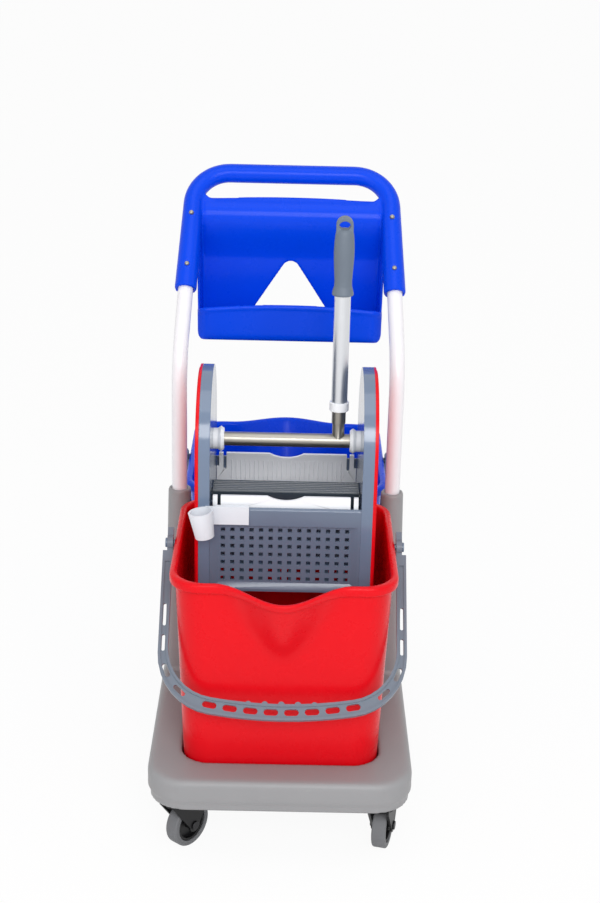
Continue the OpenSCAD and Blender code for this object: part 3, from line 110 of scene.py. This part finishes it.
def moulded_skin_group():
    """Moulded plastic: faint flow marks in the colour, uneven gloss and a fine grain."""
    group, given, result = new_group(
        "moulded_skin",
        [("Colour", "NodeSocketColor", (0.5, 0.5, 0.5, 1)), ("Gloss", "NodeSocketFloat", 0.3),
         ("Gloss Spread", "NodeSocketFloat", 0.1), ("Mottle", "NodeSocketFloat", 0.06),
         ("Grain Scale", "NodeSocketFloat", 900.0)],
        [("Colour", "NodeSocketColor"), ("Roughness", "NodeSocketFloat"), ("Height", "NodeSocketFloat")])
    place = group.nodes.new("ShaderNodeTexCoord").outputs["Object"]
    flow = noise(group, place, scale=14.0, detail=3.0)
    shade = math_node(group, "MULTIPLY_ADD", flow, given.outputs["Mottle"])
    half = math_node(group, "MULTIPLY", given.outputs["Mottle"], -NOISE_MIDDLE)
    shade.node.inputs[2].default_value = 1.0
    value = math_node(group, "ADD", shade, half)
    tint = group.nodes.new("ShaderNodeHueSaturation")
    group.links.new(value, tint.inputs["Value"])
    group.links.new(given.outputs["Colour"], tint.inputs["Color"])
    group.links.new(tint.outputs["Color"], result.inputs["Colour"])
    smear = noise(group, place, scale=38.0, detail=4.0, rough=0.65)
    spread = math_node(group, "SUBTRACT", smear, NOISE_MIDDLE)
    swing = math_node(group, "MULTIPLY", spread, given.outputs["Gloss Spread"])
    gloss = math_node(group, "ADD", swing, given.outputs["Gloss"], clamp=True)
    group.links.new(gloss, result.inputs["Roughness"])
    grain = noise(group, place, given.outputs["Grain Scale"], detail=2.0)
    group.links.new(grain, result.inputs["Height"])
    return group


def scuff_group():
    """Thin handling scratches inside small rubbed patches, as a mask."""
    streak_squeeze, streak_turn = (1.0, 1.0, 9.0), (0.5, 0.3, 0.9)
    streak_floor, streak_gain = 0.6, 5.0
    patch_floor, patch_gain = 0.45, 4.0
    group, given, result = new_group(
        "handling_scuffs",
        [("Amount", "NodeSocketFloat", 0.3), ("Scale", "NodeSocketFloat", 30.0)],
        [("Mask", "NodeSocketFloat")])
    place = group.nodes.new("ShaderNodeTexCoord").outputs["Object"]
    stretch = group.nodes.new("ShaderNodeMapping")
    stretch.inputs["Scale"].default_value = streak_squeeze
    stretch.inputs["Rotation"].default_value = streak_turn
    group.links.new(place, stretch.inputs["Vector"])
    streak = noise(group, stretch.outputs["Vector"], given.outputs["Scale"], detail=6.0, rough=0.7)
    thin = math_node(group, "SUBTRACT", streak, streak_floor)
    sharp = math_node(group, "MULTIPLY", thin, streak_gain, clamp=True)
    patch = noise(group, place, scale=9.0, detail=2.0)
    area = math_node(group, "SUBTRACT", patch, patch_floor)
    area = math_node(group, "MULTIPLY", area, patch_gain, clamp=True)
    mask = math_node(group, "MULTIPLY", sharp, area)
    mask = math_node(group, "MULTIPLY", mask, given.outputs["Amount"], clamp=True)
    group.links.new(mask, result.inputs["Mask"])
    return group


def drawn_metal_group():
    """Fine streaks along a drawn tube or a turned pin, under a faint haze."""
    drawn_along_z = (1.0, 1.0, 0.02)
    haze_swing = 0.16
    group, given, result = new_group(
        "drawn_metal",
        [("Colour", "NodeSocketColor", (0.7, 0.7, 0.7, 1)), ("Gloss", "NodeSocketFloat", 0.3),
         ("Streak", "NodeSocketFloat", 0.12)],
        [("Colour", "NodeSocketColor"), ("Roughness", "NodeSocketFloat"), ("Height", "NodeSocketFloat")])
    place = group.nodes.new("ShaderNodeTexCoord").outputs["Object"]
    stretch = group.nodes.new("ShaderNodeMapping")
    stretch.inputs["Scale"].default_value = drawn_along_z
    group.links.new(place, stretch.inputs["Vector"])
    lines = noise(group, stretch.outputs["Vector"], scale=1500.0, detail=3.0)
    haze = noise(group, place, scale=45.0, detail=3.0)
    centred = math_node(group, "SUBTRACT", lines, NOISE_MIDDLE)
    swing = math_node(group, "MULTIPLY", centred, given.outputs["Streak"])
    cloud = math_node(group, "SUBTRACT", haze, NOISE_MIDDLE)
    cloud = math_node(group, "MULTIPLY", cloud, haze_swing)
    gloss = math_node(group, "ADD", given.outputs["Gloss"], swing)
    gloss = math_node(group, "ADD", gloss, cloud, clamp=True)
    group.links.new(gloss, result.inputs["Roughness"])
    value = math_node(group, "ADD", swing, 1.0)
    tint = group.nodes.new("ShaderNodeHueSaturation")
    group.links.new(value, tint.inputs["Value"])
    group.links.new(given.outputs["Colour"], tint.inputs["Color"])
    group.links.new(tint.outputs["Color"], result.inputs["Colour"])
    group.links.new(lines, result.inputs["Height"])
    return group


MOULDED_SKIN = moulded_skin_group()
SCUFFS = scuff_group()
DRAWN_METAL = drawn_metal_group()


def placed_group(tree, group, **values):
    """Group node in a material, with its own values."""
    node = tree.nodes.new("ShaderNodeGroup")
    node.node_tree = group
    for title, value in values.items():
        node.inputs[title.replace("_", " ")].default_value = value
    return node


def add_bump(tree, shader, height, strength, distance):
    """Bump from a height on the shader's normal."""
    bump = tree.nodes.new("ShaderNodeBump")
    bump.inputs["Strength"].default_value = strength
    bump.inputs["Distance"].default_value = distance
    tree.links.new(height, bump.inputs["Height"])
    tree.links.new(bump.outputs["Normal"], shader.inputs["Normal"])


def plastic(name, colour, gloss, spread=0.1, mottle=0.06, grain=900.0, bump=0.12, sheen=0.35, scuff=0.25,
            scuff_colour="c8c8c8"):
    """Moulded plastic with its grain, uneven gloss and light scuffs."""
    material = bpy.data.materials.new(name)
    material.use_nodes = True
    tree = material.node_tree
    shader = tree.nodes["Principled BSDF"]
    skin = placed_group(tree, MOULDED_SKIN, Colour=tone(colour), Gloss=gloss, Gloss_Spread=spread,
                        Mottle=mottle, Grain_Scale=grain)
    marks = placed_group(tree, SCUFFS, Amount=scuff)
    mix = tree.nodes.new("ShaderNodeMix")
    mix.data_type = "RGBA"
    mix.inputs["B"].default_value = tone(scuff_colour)
    tree.links.new(marks.outputs["Mask"], mix.inputs["Factor"])
    tree.links.new(skin.outputs["Colour"], mix.inputs["A"])
    tree.links.new(mix.outputs["Result"], shader.inputs["Base Color"])
    tree.links.new(skin.outputs["Roughness"], shader.inputs["Roughness"])
    add_bump(tree, shader, skin.outputs["Height"], strength=bump, distance=0.2 * MM)
    shader.inputs["Specular IOR Level"].default_value = sheen
    return material


def metal(name, colour, gloss, streak, bump=0.05):
    """Drawn or plated metal."""
    material = bpy.data.materials.new(name)
    material.use_nodes = True
    tree = material.node_tree
    shader = tree.nodes["Principled BSDF"]
    skin = placed_group(tree, DRAWN_METAL, Colour=tone(colour), Gloss=gloss, Streak=streak)
    tree.links.new(skin.outputs["Colour"], shader.inputs["Base Color"])
    tree.links.new(skin.outputs["Roughness"], shader.inputs["Roughness"])
    add_bump(tree, shader, skin.outputs["Height"], strength=bump, distance=0.05 * MM)
    shader.inputs["Metallic"].default_value = 1.0
    return material


FINISH = {
    "chassis_grey": plastic("chassis_grey", "929294", gloss=0.4, mottle=0.07, grain=700.0, bump=0.2,
                            scuff=0.25),
    "red_plastic": plastic("red_plastic", "dd0a18", gloss=0.28, mottle=0.04, bump=0.06, sheen=0.16,
                           scuff=0.06, scuff_colour="f06060"),
    "blue_plastic": plastic("blue_plastic", "0044de", gloss=0.28, mottle=0.05, bump=0.06, sheen=0.14,
                            scuff=0.06, scuff_colour="5f80f0"),
    "slate_plastic": plastic("slate_plastic", "667388", gloss=0.2, spread=0.06, mottle=0.05, bump=0.04,
                             sheen=0.5, scuff=0.1),
    "white_plastic": plastic("white_plastic", "f2f3f6", gloss=0.3, mottle=0.02, bump=0.05, sheen=0.4,
                             scuff=0.06, scuff_colour="d0d0cc"),
    "white_tube": plastic("white_powder_coat", "eceaee", gloss=0.25, mottle=0.02, grain=500.0, bump=0.06,
                          sheen=0.5, scuff=0.1, scuff_colour="c4c6c8"),
    "steel": metal("plated_steel", "a09c94", gloss=0.38, streak=0.1),
    "aluminium": metal("drawn_aluminium", "dcdee2", gloss=0.36, streak=0.14),
    "black_plastic": plastic("black_plastic", "151517", gloss=0.4, mottle=0.1, bump=0.15, sheen=0.22,
                             scuff=0.16, scuff_colour="6a6a6a"),
    "tyre_grey": plastic("grey_tyre", "6e6f72", gloss=0.6, mottle=0.12, grain=500.0, bump=0.25,
                         scuff=0.35, scuff_colour="4a4a48"),
}

# Pieces whose finish differs a little from the rest of their slot
CHEEK_GLOSS = plastic("cheek_slate", "6a7a92", gloss=0.13, spread=0.05, mottle=0.04, bump=0.03, sheen=0.6,
                      scuff=0.08)
BAIL_SATIN = plastic("bail_slate", "6c7683", gloss=0.34, mottle=0.05, bump=0.08, scuff=0.12)
DARK_BOLT = metal("blackened_steel", "3a3a3c", gloss=0.45, streak=0.08)
OWN_FINISH = {
    "jaw_beam": plastic("beam_slate", "3a434c", gloss=0.16, spread=0.06, mottle=0.05, bump=0.04, sheen=0.6,
                        scuff=0.1),
    "lever_grip": plastic("grip_grey", "68727e", gloss=0.46, mottle=0.05, grain=1200.0, bump=0.2,
                          scuff=0.12),
    "mop_clip": plastic("milky_plastic", "dde1e8", gloss=0.38, mottle=0.02, bump=0.05, sheen=0.35,
                        scuff=0.06),
    "cheek_left": CHEEK_GLOSS,
    "cheek_right": CHEEK_GLOSS,
    "front_bail": BAIL_SATIN,
    "rear_bail": BAIL_SATIN,
}
CORNERS = ("fl", "fr", "rl", "rr")
for corner in CORNERS:
    OWN_FINISH["caster_axle_" + corner] = DARK_BOLT


# Making pieces

# Nodes whose flat faces go round holes or ribs and stay in triangles
RIBBED = {"front_grille", "front_lip", "rear_lip", "drain_floor", "press_plate"}


def put_in_scene(bm, name, nodes, smooth_deg=32):
    """Turns a bmesh into a piece that stands for its CAD nodes, with soft shading below an angle."""
    for face in bm.faces:
        face.smooth = True
    for edge in bm.edges:
        edge.smooth = edge.calc_face_angle(0.0) < math.radians(smooth_deg)
    mesh = bpy.data.meshes.new(name)
    bm.to_mesh(mesh)
    bm.free()
    piece = bpy.data.objects.new(name, mesh)
    bpy.context.scene.collection.objects.link(piece)
    mesh.materials.append(OWN_FINISH.get(nodes[0], FINISH[SLOT_OF[nodes[0]]]))
    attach(piece, BODY_OF[nodes[0]])
    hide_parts(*nodes)
    return piece


def node_copy(node, joined=True):
    """The node's own solid as a welded bmesh, with its flat faces joined up if asked."""
    bm = bmesh.new()
    bm.from_mesh(frame["nodes"][node].data)
    bmesh.ops.remove_doubles(bm, verts=bm.verts, dist=WELD)
    if joined:
        bmesh.ops.dissolve_limit(bm, angle_limit=math.radians(FLAT_DEG), use_dissolve_boundaries=False,
                                 verts=bm.verts, edges=bm.edges, delimit=set())
    return bm


def softened(node, radius, segments=2, limit_deg=34):
    """The node's solid with its sharp edges rounded off."""
    bm = node_copy(node, node not in RIBBED)
    piece = put_in_scene(bm, node + "_soft", [node])
    rounding = piece.modifiers.new("edge_rounding", "BEVEL")
    rounding.width = radius * MM
    rounding.segments = segments
    rounding.limit_method = "ANGLE"
    rounding.angle_limit = math.radians(limit_deg)
    rounding.use_clamp_overlap = True
    rounding.miter_outer = "MITER_ARC"
    shading = piece.modifiers.new("even_shading", "WEIGHTED_NORMAL")
    shading.keep_sharp = True
    return piece


def screw_heads(node, outward, rim, depth):
    """The node's screws with a round recess in each head."""
    square_on, round_sides, full_size = 0.95, 8, 0.8
    bm = node_copy(node)
    way = Vector(outward).normalized()
    facing = [f for f in bm.faces if f.normal.dot(way) > square_on and len(f.verts) > round_sides]
    widest = max(f.calc_area() for f in facing)
    tops = [f for f in facing if f.calc_area() > full_size * widest]
    bmesh.ops.inset_individual(bm, faces=tops, thickness=rim * MM, depth=-depth * MM)
    return put_in_scene(bm, node + "_heads", [node])


def flowing(bm, node, cell, rounds):
    """Solids that overlap, drawn over by one even skin whose inside corners flow into each other."""
    piece = put_in_scene(bm, node + "_skin", [node], smooth_deg=180)
    skin = piece.modifiers.new("even_skin", "REMESH")
    skin.mode = "VOXEL"
    skin.voxel_size = cell * MM
    skin.use_smooth_shade = True
    flow = piece.modifiers.new("flow", "SMOOTH")
    flow.factor = 0.5
    flow.iterations = rounds
    return piece


def draw_out(bm, faces, across):
    """Draws faces out along a vector into a closed slab, and gives back the far vertices."""
    walls = bmesh.ops.extrude_face_region(bm, geom=faces, use_keep_orig=True)
    far = [g for g in walls["geom"] if isinstance(g, bmesh.types.BMVert)]
    bmesh.ops.translate(bm, vec=across, verts=far)
    return far


def add_slab(bm, outline, across):
    """Closed slab with its faces outwards, drawn out of a flat outline."""
    face = bm.faces.new([bm.verts.new(point) for point in outline])
    corners = face.verts[:] + draw_out(bm, [face], across)
    bmesh.ops.recalc_face_normals(bm, faces=list({f for v in corners for f in v.link_faces}))


# Buckets

BUCKET_WALL = 3.5 * MM
BUCKET_HEIGHT = 344 * MM
WALL_HALF_W = 164 * MM
WALL_HALF_L = 162 * MM
WALL_DRAFT = math.tan(math.radians(2.2))
BUCKET_CORNER = 55 * MM
RIM_OUT = 8 * MM
RIM_HIGH = 15 * MM
LIP_OUT = 52 * MM
LIP_DROP = 8 * MM
LIP_HALF_W = 104 * MM
LIP_DEPTH = 122 * MM
# Powers by which the lip narrows and fades on its way down the wall
LIP_NARROWING = 0.55
LIP_FADE = 0.75
# Height of the rolled rim's arc for its half width
ROLL_FLATNESS = 0.8
# Share of the half length past which an edge belongs to the front
FRONT_SHARE = 0.99
# Fineness of the wall round the bucket and up it
CORNER_STEPS = 12
LIP_CUTS = 47
SIDE_CUTS = 5
WALL_STEPS = 18
INNER_STEPS = 20


def wall_half(z, grow):
    """Half width and half length of the bucket's outer wall at height z, grown by an offset."""
    inset = (BUCKET_HEIGHT - z) * WALL_DRAFT
    return WALL_HALF_W - inset + grow, WALL_HALF_L - inset + grow


def arc_steps(count, start_deg, end_deg):
    """Cosine and sine at even steps of an arc."""
    for k in range(count + 1):
        angle = math.radians(start_deg + (end_deg - start_deg) * k / count)
        yield math.cos(angle), math.sin(angle)


def bucket_profile():
    """Wall section from foot over the rolled rim to the floor, as (height, offset from the outer wall)."""
    foot = 7 * MM
    section = [(foot + foot * s, foot * (c - 1)) for c, s in arc_steps(4, -70, 0)]
    wall_top = BUCKET_HEIGHT - RIM_HIGH
    section += [(foot + (wall_top - foot) * k / WALL_STEPS, 0.0) for k in range(1, WALL_STEPS + 1)]
    under = 2 * MM
    bend = RIM_OUT - under
    section += [(wall_top + under * (1 + s), bend + under * c) for c, s in arc_steps(3, -90, 0)]
    roll = (RIM_OUT + BUCKET_WALL) / 2
    middle = RIM_OUT - roll
    rise = roll * ROLL_FLATNESS
    crown = BUCKET_HEIGHT - rise
    section += [(crown + rise * s, middle + roll * c) for c, s in arc_steps(8, 0, 180)]
    floor = BUCKET_WALL
    fillet = 10 * MM
    turn = floor + fillet
    section += [(crown + (turn - crown) * k / INNER_STEPS, -BUCKET_WALL) for k in range(1, INNER_STEPS + 1)]
    section += [(turn + fillet * s, -BUCKET_WALL - fillet * (1 - c)) for c, s in arc_steps(4, -18, -90)]
    return section


def lip_push(x, z):
    """Outward push and drop of the pouring lip at a place on the front wall."""
    share = max(0.0, min(1.0, 1 - (BUCKET_HEIGHT - z) / LIP_DEPTH))
    reach = LIP_HALF_W * share ** LIP_NARROWING
    if reach <= 0 or abs(x) >= reach:
        return 0.0, 0.0
    wave = (1 + math.cos(math.pi * x / reach)) / 2 * share ** LIP_FADE
    return LIP_OUT * wave, LIP_DROP * wave * share * share


def make_bucket(node, turn_deg):
    """Bucket drawn up loop by loop from a rounded rectangle, with the lip pushed out of its front."""
    low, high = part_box(node)
    bm = bmesh.new()
    section = bucket_profile()
    half_w, half_l = wall_half(*section[0])
    bmesh.ops.create_grid(bm, x_segments=1, y_segments=1, size=1)
    bmesh.ops.scale(bm, vec=(half_w, half_l, 1), verts=bm.verts)
    corner = BUCKET_CORNER - BUCKET_HEIGHT * WALL_DRAFT
    bmesh.ops.bevel(bm, geom=bm.verts[:], offset=corner, offset_type="OFFSET", segments=CORNER_STEPS,
                    profile=0.5, affect="VERTICES", material=-1)
    straight = [e for e in bm.edges if e.calc_length() > corner]
    front = [e for e in straight if all(v.co.y < -half_l * FRONT_SHARE for v in e.verts)]
    others = [e for e in straight if e not in front]
    bmesh.ops.subdivide_edges(bm, edges=front, cuts=LIP_CUTS)
    bmesh.ops.subdivide_edges(bm, edges=others, cuts=SIDE_CUTS)
    bmesh.ops.translate(bm, vec=(0, 0, section[0][0]), verts=bm.verts)
    loop = bm.edges[:]
    size = (half_w, half_l)
    for height, grow in section[1:]:
        step = bmesh.ops.extrude_edge_only(bm, edges=loop)
        rising = [g for g in step["geom"] if isinstance(g, bmesh.types.BMVert)]
        ring = set(rising)
        loop = [g for g in step["geom"] if isinstance(g, bmesh.types.BMEdge) and set(g.verts) <= ring]
        new_size = wall_half(height, grow)
        bmesh.ops.scale(bm, vec=(new_size[0] / size[0], new_size[1] / size[1], 1), verts=rising)
        bmesh.ops.translate(bm, vec=(0, 0, height - rising[0].co.z), verts=rising)
        size = new_size
    bmesh.ops.edgeloop_fill(bm, edges=loop)
    for vert in bm.verts:
        if vert.co.y < 0:
            out, drop = lip_push(vert.co.x, vert.co.z)
            vert.co.y -= out
            vert.co.z -= drop
    bmesh.ops.recalc_face_normals(bm, faces=bm.faces)
    back_rim, inward = (low.y, 1) if turn_deg else (high.y, -1)
    middle = back_rim + inward * (WALL_HALF_L + RIM_OUT)
    place = Matrix.Translation((0, middle, low.z)) @ Matrix.Rotation(math.radians(turn_deg), 4, "Z")
    bmesh.ops.transform(bm, matrix=place, verts=bm.verts)
    return put_in_scene(bm, node + "_shell", [node], smooth_deg=50)


make_bucket("front_bucket", turn_deg=0)
make_bucket("rear_bucket", turn_deg=180)


# Handle tray

# How far the leaning arms go back and up
ARM_BACK, ARM_UP = 0.67, 0.74
# Back panel's curve from the hand slot to the arch: two ends and two pulls as (y, z) in millimetres
PANEL_CURVE = ((199, 911), (156, 886), (198, 838), (201.5, 806))
PANEL_STEPS = 16
PANEL_HALF_W = 148 * MM
PANEL_T = 3 * MM


def slot_corner(bm, side):
    """Web that rounds one lower corner of the hand slot, between the arm and the panel's top."""
    radius, web_t = 20 * MM, 7 * MM
    corner_x, corner_y, corner_z = 149, 199, 909
    foot = Vector((side * corner_x, corner_y, corner_z)) * MM
    inward, up_arm = Vector((-side, 0, 0)), Vector((0, ARM_BACK, ARM_UP)).normalized()
    across = inward.cross(up_arm) * web_t
    round_from = foot + radius * (inward + up_arm)
    rim = [round_from - radius * (c * inward + s * up_arm) for c, s in arc_steps(8, 0, 90)]
    add_slab(bm, [point - across / 2 for point in [foot] + rim], across)


def make_tray():
    """The moulding with its back panel drawn in one soft curve from the hand slot down to the arch."""
    bm = node_copy("handle_tray", joined=False)
    top, pull, ease, foot = [Vector((-PANEL_HALF_W, y * MM, z * MM)) for y, z in PANEL_CURVE]
    behind = Vector((0, PANEL_T, 0))
    curve = interpolate_bezier(top, pull, ease, foot, PANEL_STEPS) + [foot + behind, top + 2 * behind]
    add_slab(bm, curve, (2 * PANEL_HALF_W, 0, 0))
    for side in (-1, 1):
        slot_corner(bm, side)
    return flowing(bm, "handle_tray", cell=2.2, rounds=5)


make_tray()


# Lever grip

# Barrel's outline from foot to top, as (radius in millimetres, share of its length)
BARREL_OUTLINE = (
    (0.0, 0.0), (16.4, 0.0), (16.7, 0.03), (15.6, 0.07), (13.7, 0.14), (13.5, 0.22), (14.4, 0.36),
    (15.4, 0.52), (15.7, 0.66), (15.2, 0.8), (14.2, 0.91), (13.0, 0.97), (10.5, 1.0), (0.0, 1.01),
)
BARREL_SIDES = 40
LOOP_SIDES = 32


def make_grip():
    """Barrel turned from its outline, with a flat loop for hanging on top."""
    low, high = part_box("lever_grip")
    middle = (low + high) / 2
    foot_room, loop_room = 4 * MM, 19 * MM
    loop_r, hole_r, loop_t = 13 * MM, 8.5 * MM, 15 * MM
    loop_drop, hole_squash = 14 * MM, 0.78
    seam_weld, below_middle = 0.02 * MM, 0.05
    foot = low.z + foot_room
    barrel = high.z - loop_room - foot
    bm = bmesh.new()
    points = [bm.verts.new((r * MM, 0, foot + share * barrel)) for r, share in BARREL_OUTLINE]
    edges = [bm.edges.new(pair) for pair in zip(points, points[1:])]
    bmesh.ops.spin(bm, geom=points + edges, cent=(0, 0, 0), axis=(0, 0, 1), dvec=(0, 0, 0),
                   angle=2 * math.pi, steps=BARREL_SIDES, use_merge=True, use_duplicate=False)
    bmesh.ops.remove_doubles(bm, verts=bm.verts, dist=seam_weld)
    loop_place = Matrix.Translation((0, loop_t / 2, high.z - loop_r))
    upright = loop_place @ Matrix.Rotation(math.radians(90), 4, "X")
    rings = []
    for radius, drop in ((loop_r, loop_drop), (hole_r, 0.0)):
        ring = bmesh.ops.create_circle(bm, cap_ends=False, radius=radius, segments=LOOP_SIDES)["verts"]
        lower = [v for v in ring if v.co.y < -radius * below_middle]
        bmesh.ops.translate(bm, vec=(0, -drop, 0), verts=lower)
        if not drop:
            bmesh.ops.scale(bm, vec=(1, hole_squash, 1), verts=ring)
        bmesh.ops.transform(bm, matrix=upright, verts=ring)
        rings += {e for v in ring for e in v.link_edges}
    plate = bmesh.ops.bridge_loops(bm, edges=rings)["faces"]
    draw_out(bm, plate, (0, -loop_t, 0))
    bmesh.ops.recalc_face_normals(bm, faces=bm.faces)
    bmesh.ops.translate(bm, vec=(middle.x, middle.y, 0), verts=bm.verts)
    return flowing(bm, "lever_grip", cell=0.9, rounds=5)


make_grip()

# Pieces whose solids only need their edges rounded, with the radius in millimetres
SOFT_EDGES = {
    "upright_left": 0.3, "upright_right": 0.3,
    "front_bail": 0.8, "rear_bail": 0.8, "cheek_left": 1.2, "cheek_right": 1.2,
    "cover_left": 1.2, "cover_right": 1.2, "front_grille": 0.5, "back_wall": 1.0, "drain_floor": 0.5,
    "front_lip": 0.5, "rear_lip": 0.5, "mop_clip": 0.8, "jaw_beam": 0.6, "press_plate": 0.6,
    "lever_collar": 0.8, "lever_tube": 0.3, "cross_shaft": 0.4,
    "shaft_bush_left": 0.6, "shaft_bush_right": 0.6, "pinion_left": 0.3, "pinion_right": 0.3,
    "jaw_sector_left": 0.3, "jaw_sector_right": 0.3, "front_bail_pins": 0.5, "rear_bail_pins": 0.5,
    "upright_bolts": 0.6, "cover_screws": 0.3, "caster_stems": 0.4,
    "brake_pedal_fl": 1.0, "brake_pedal_fr": 1.0,
}
for corner in CORNERS:
    SOFT_EDGES["caster_fork_" + corner] = 1.0
    SOFT_EDGES["caster_axle_" + corner] = 0.5
    SOFT_EDGES["wheel_hub_" + corner] = 0.6
    SOFT_EDGES["wheel_tyre_" + corner] = 0.6
for node, radius in SOFT_EDGES.items():
    softened(node, radius)
flowing(node_copy("chassis", joined=False), "chassis", cell=3.8, rounds=3)
screw_heads("tray_screws", outward=(0, -ARM_UP, ARM_BACK), rim=1.8, depth=1.4)


# Studio

def photo_camera():
    """Camera at the photograph's place, tilt and small roll."""
    place = Vector((0.6, -2541.5, 1501.1)) * MM
    focal_px = 1641.7
    frame_px = 600
    sensor_mm = 36.0
    pitch_deg = 20.85
    roll_deg = 1.4
    yaw_deg = -0.48
    data = bpy.data.cameras.new("photo_camera")
    data.sensor_fit = "HORIZONTAL"
    data.sensor_width = sensor_mm
    data.lens = focal_px * sensor_mm / frame_px
    camera = bpy.data.objects.new("photo_camera", data)
    turn = (Matrix.Rotation(math.radians(yaw_deg), 4, "Z")
            @ Matrix.Rotation(math.radians(90 - pitch_deg), 4, "X")
            @ Matrix.Rotation(math.radians(roll_deg), 4, "Z"))
    camera.matrix_world = Matrix.Translation(place) @ turn
    bpy.context.scene.collection.objects.link(camera)
    bpy.context.scene.camera = camera


def soft_lamp(name, place, target, size, power):
    """Square area lamp aimed at a point."""
    data = bpy.data.lights.new(name, "AREA")
    data.shape = "SQUARE"
    data.size = size
    data.energy = power
    lamp = bpy.data.objects.new(name, data)
    lamp.location = place
    lamp.rotation_euler = (Vector(target) - Vector(place)).to_track_quat("-Z", "Y").to_euler()
    bpy.context.scene.collection.objects.link(lamp)


def seen_by_eye(tree):
    """One for rays from the camera, from mirrors and through glass, else zero."""
    rays = tree.nodes.new("ShaderNodeLightPath")
    either = math_node(tree, "MAXIMUM", rays.outputs["Is Camera Ray"], rays.outputs["Is Glossy Ray"])
    return math_node(tree, "MAXIMUM", either, rays.outputs["Is Transmission Ray"])


def studio_world():
    """White surround to the eye, and a softer white as light."""
    as_light, to_the_eye = 0.64, 1.0
    world = bpy.data.worlds.new("studio")
    bpy.context.scene.world = world
    world.use_nodes = True
    tree = world.node_tree
    ground = tree.nodes["Background"]
    ground.inputs["Color"].default_value = (1, 1, 1, 1)
    strength = tree.nodes.new("ShaderNodeMix")
    strength.data_type = "FLOAT"
    strength.inputs["A"].default_value = as_light
    strength.inputs["B"].default_value = to_the_eye
    tree.links.new(seen_by_eye(tree), strength.inputs["Factor"])
    tree.links.new(strength.outputs["Result"], ground.inputs["Strength"])


def studio_floor():
    """Pale floor that keeps a soft shadow under the wheels."""
    half_size, pale, white_share = 40, (0.93, 0.93, 0.93, 1), 0.93
    bm = bmesh.new()
    bmesh.ops.create_grid(bm, x_segments=1, y_segments=1, size=half_size)
    mesh = bpy.data.meshes.new("studio_floor")
    bm.to_mesh(mesh)
    bm.free()
    floor = bpy.data.objects.new("studio_floor", mesh)
    bpy.context.scene.collection.objects.link(floor)
    material = bpy.data.materials.new("pale_floor")
    material.use_nodes = True
    tree = material.node_tree
    shader = tree.nodes["Principled BSDF"]
    shader.inputs["Base Color"].default_value = pale
    shader.inputs["Roughness"].default_value = 0.9
    shader.inputs["Specular IOR Level"].default_value = 0.1
    glow = tree.nodes.new("ShaderNodeEmission")
    glow.inputs["Color"].default_value = (1, 1, 1, 1)
    blend = tree.nodes.new("ShaderNodeMixShader")
    share = math_node(tree, "MULTIPLY", seen_by_eye(tree), white_share)
    tree.links.new(share, blend.inputs["Fac"])
    tree.links.new(shader.outputs["BSDF"], blend.inputs[1])
    tree.links.new(glow.outputs["Emission"], blend.inputs[2])
    tree.links.new(blend.outputs["Shader"], tree.nodes["Material Output"].inputs["Surface"])
    mesh.materials.append(material)


photo_camera()
studio_world()
studio_floor()
AIM = (0, 0, 0.45)
soft_lamp("key_lamp", place=(1.0, -3.1, 2.1), target=AIM, size=1.4, power=27)
soft_lamp("front_lamp", place=(0.0, -3.0, 2.3), target=AIM, size=1.2, power=28)
soft_lamp("fill_lamp", place=(-1.5, -3.0, 1.6), target=AIM, size=1.8, power=12)
soft_lamp("top_lamp", place=(0.1, -0.6, 3.0), target=AIM, size=1.6, power=10)
bpy.context.scene.view_settings.view_transform = "Standard"
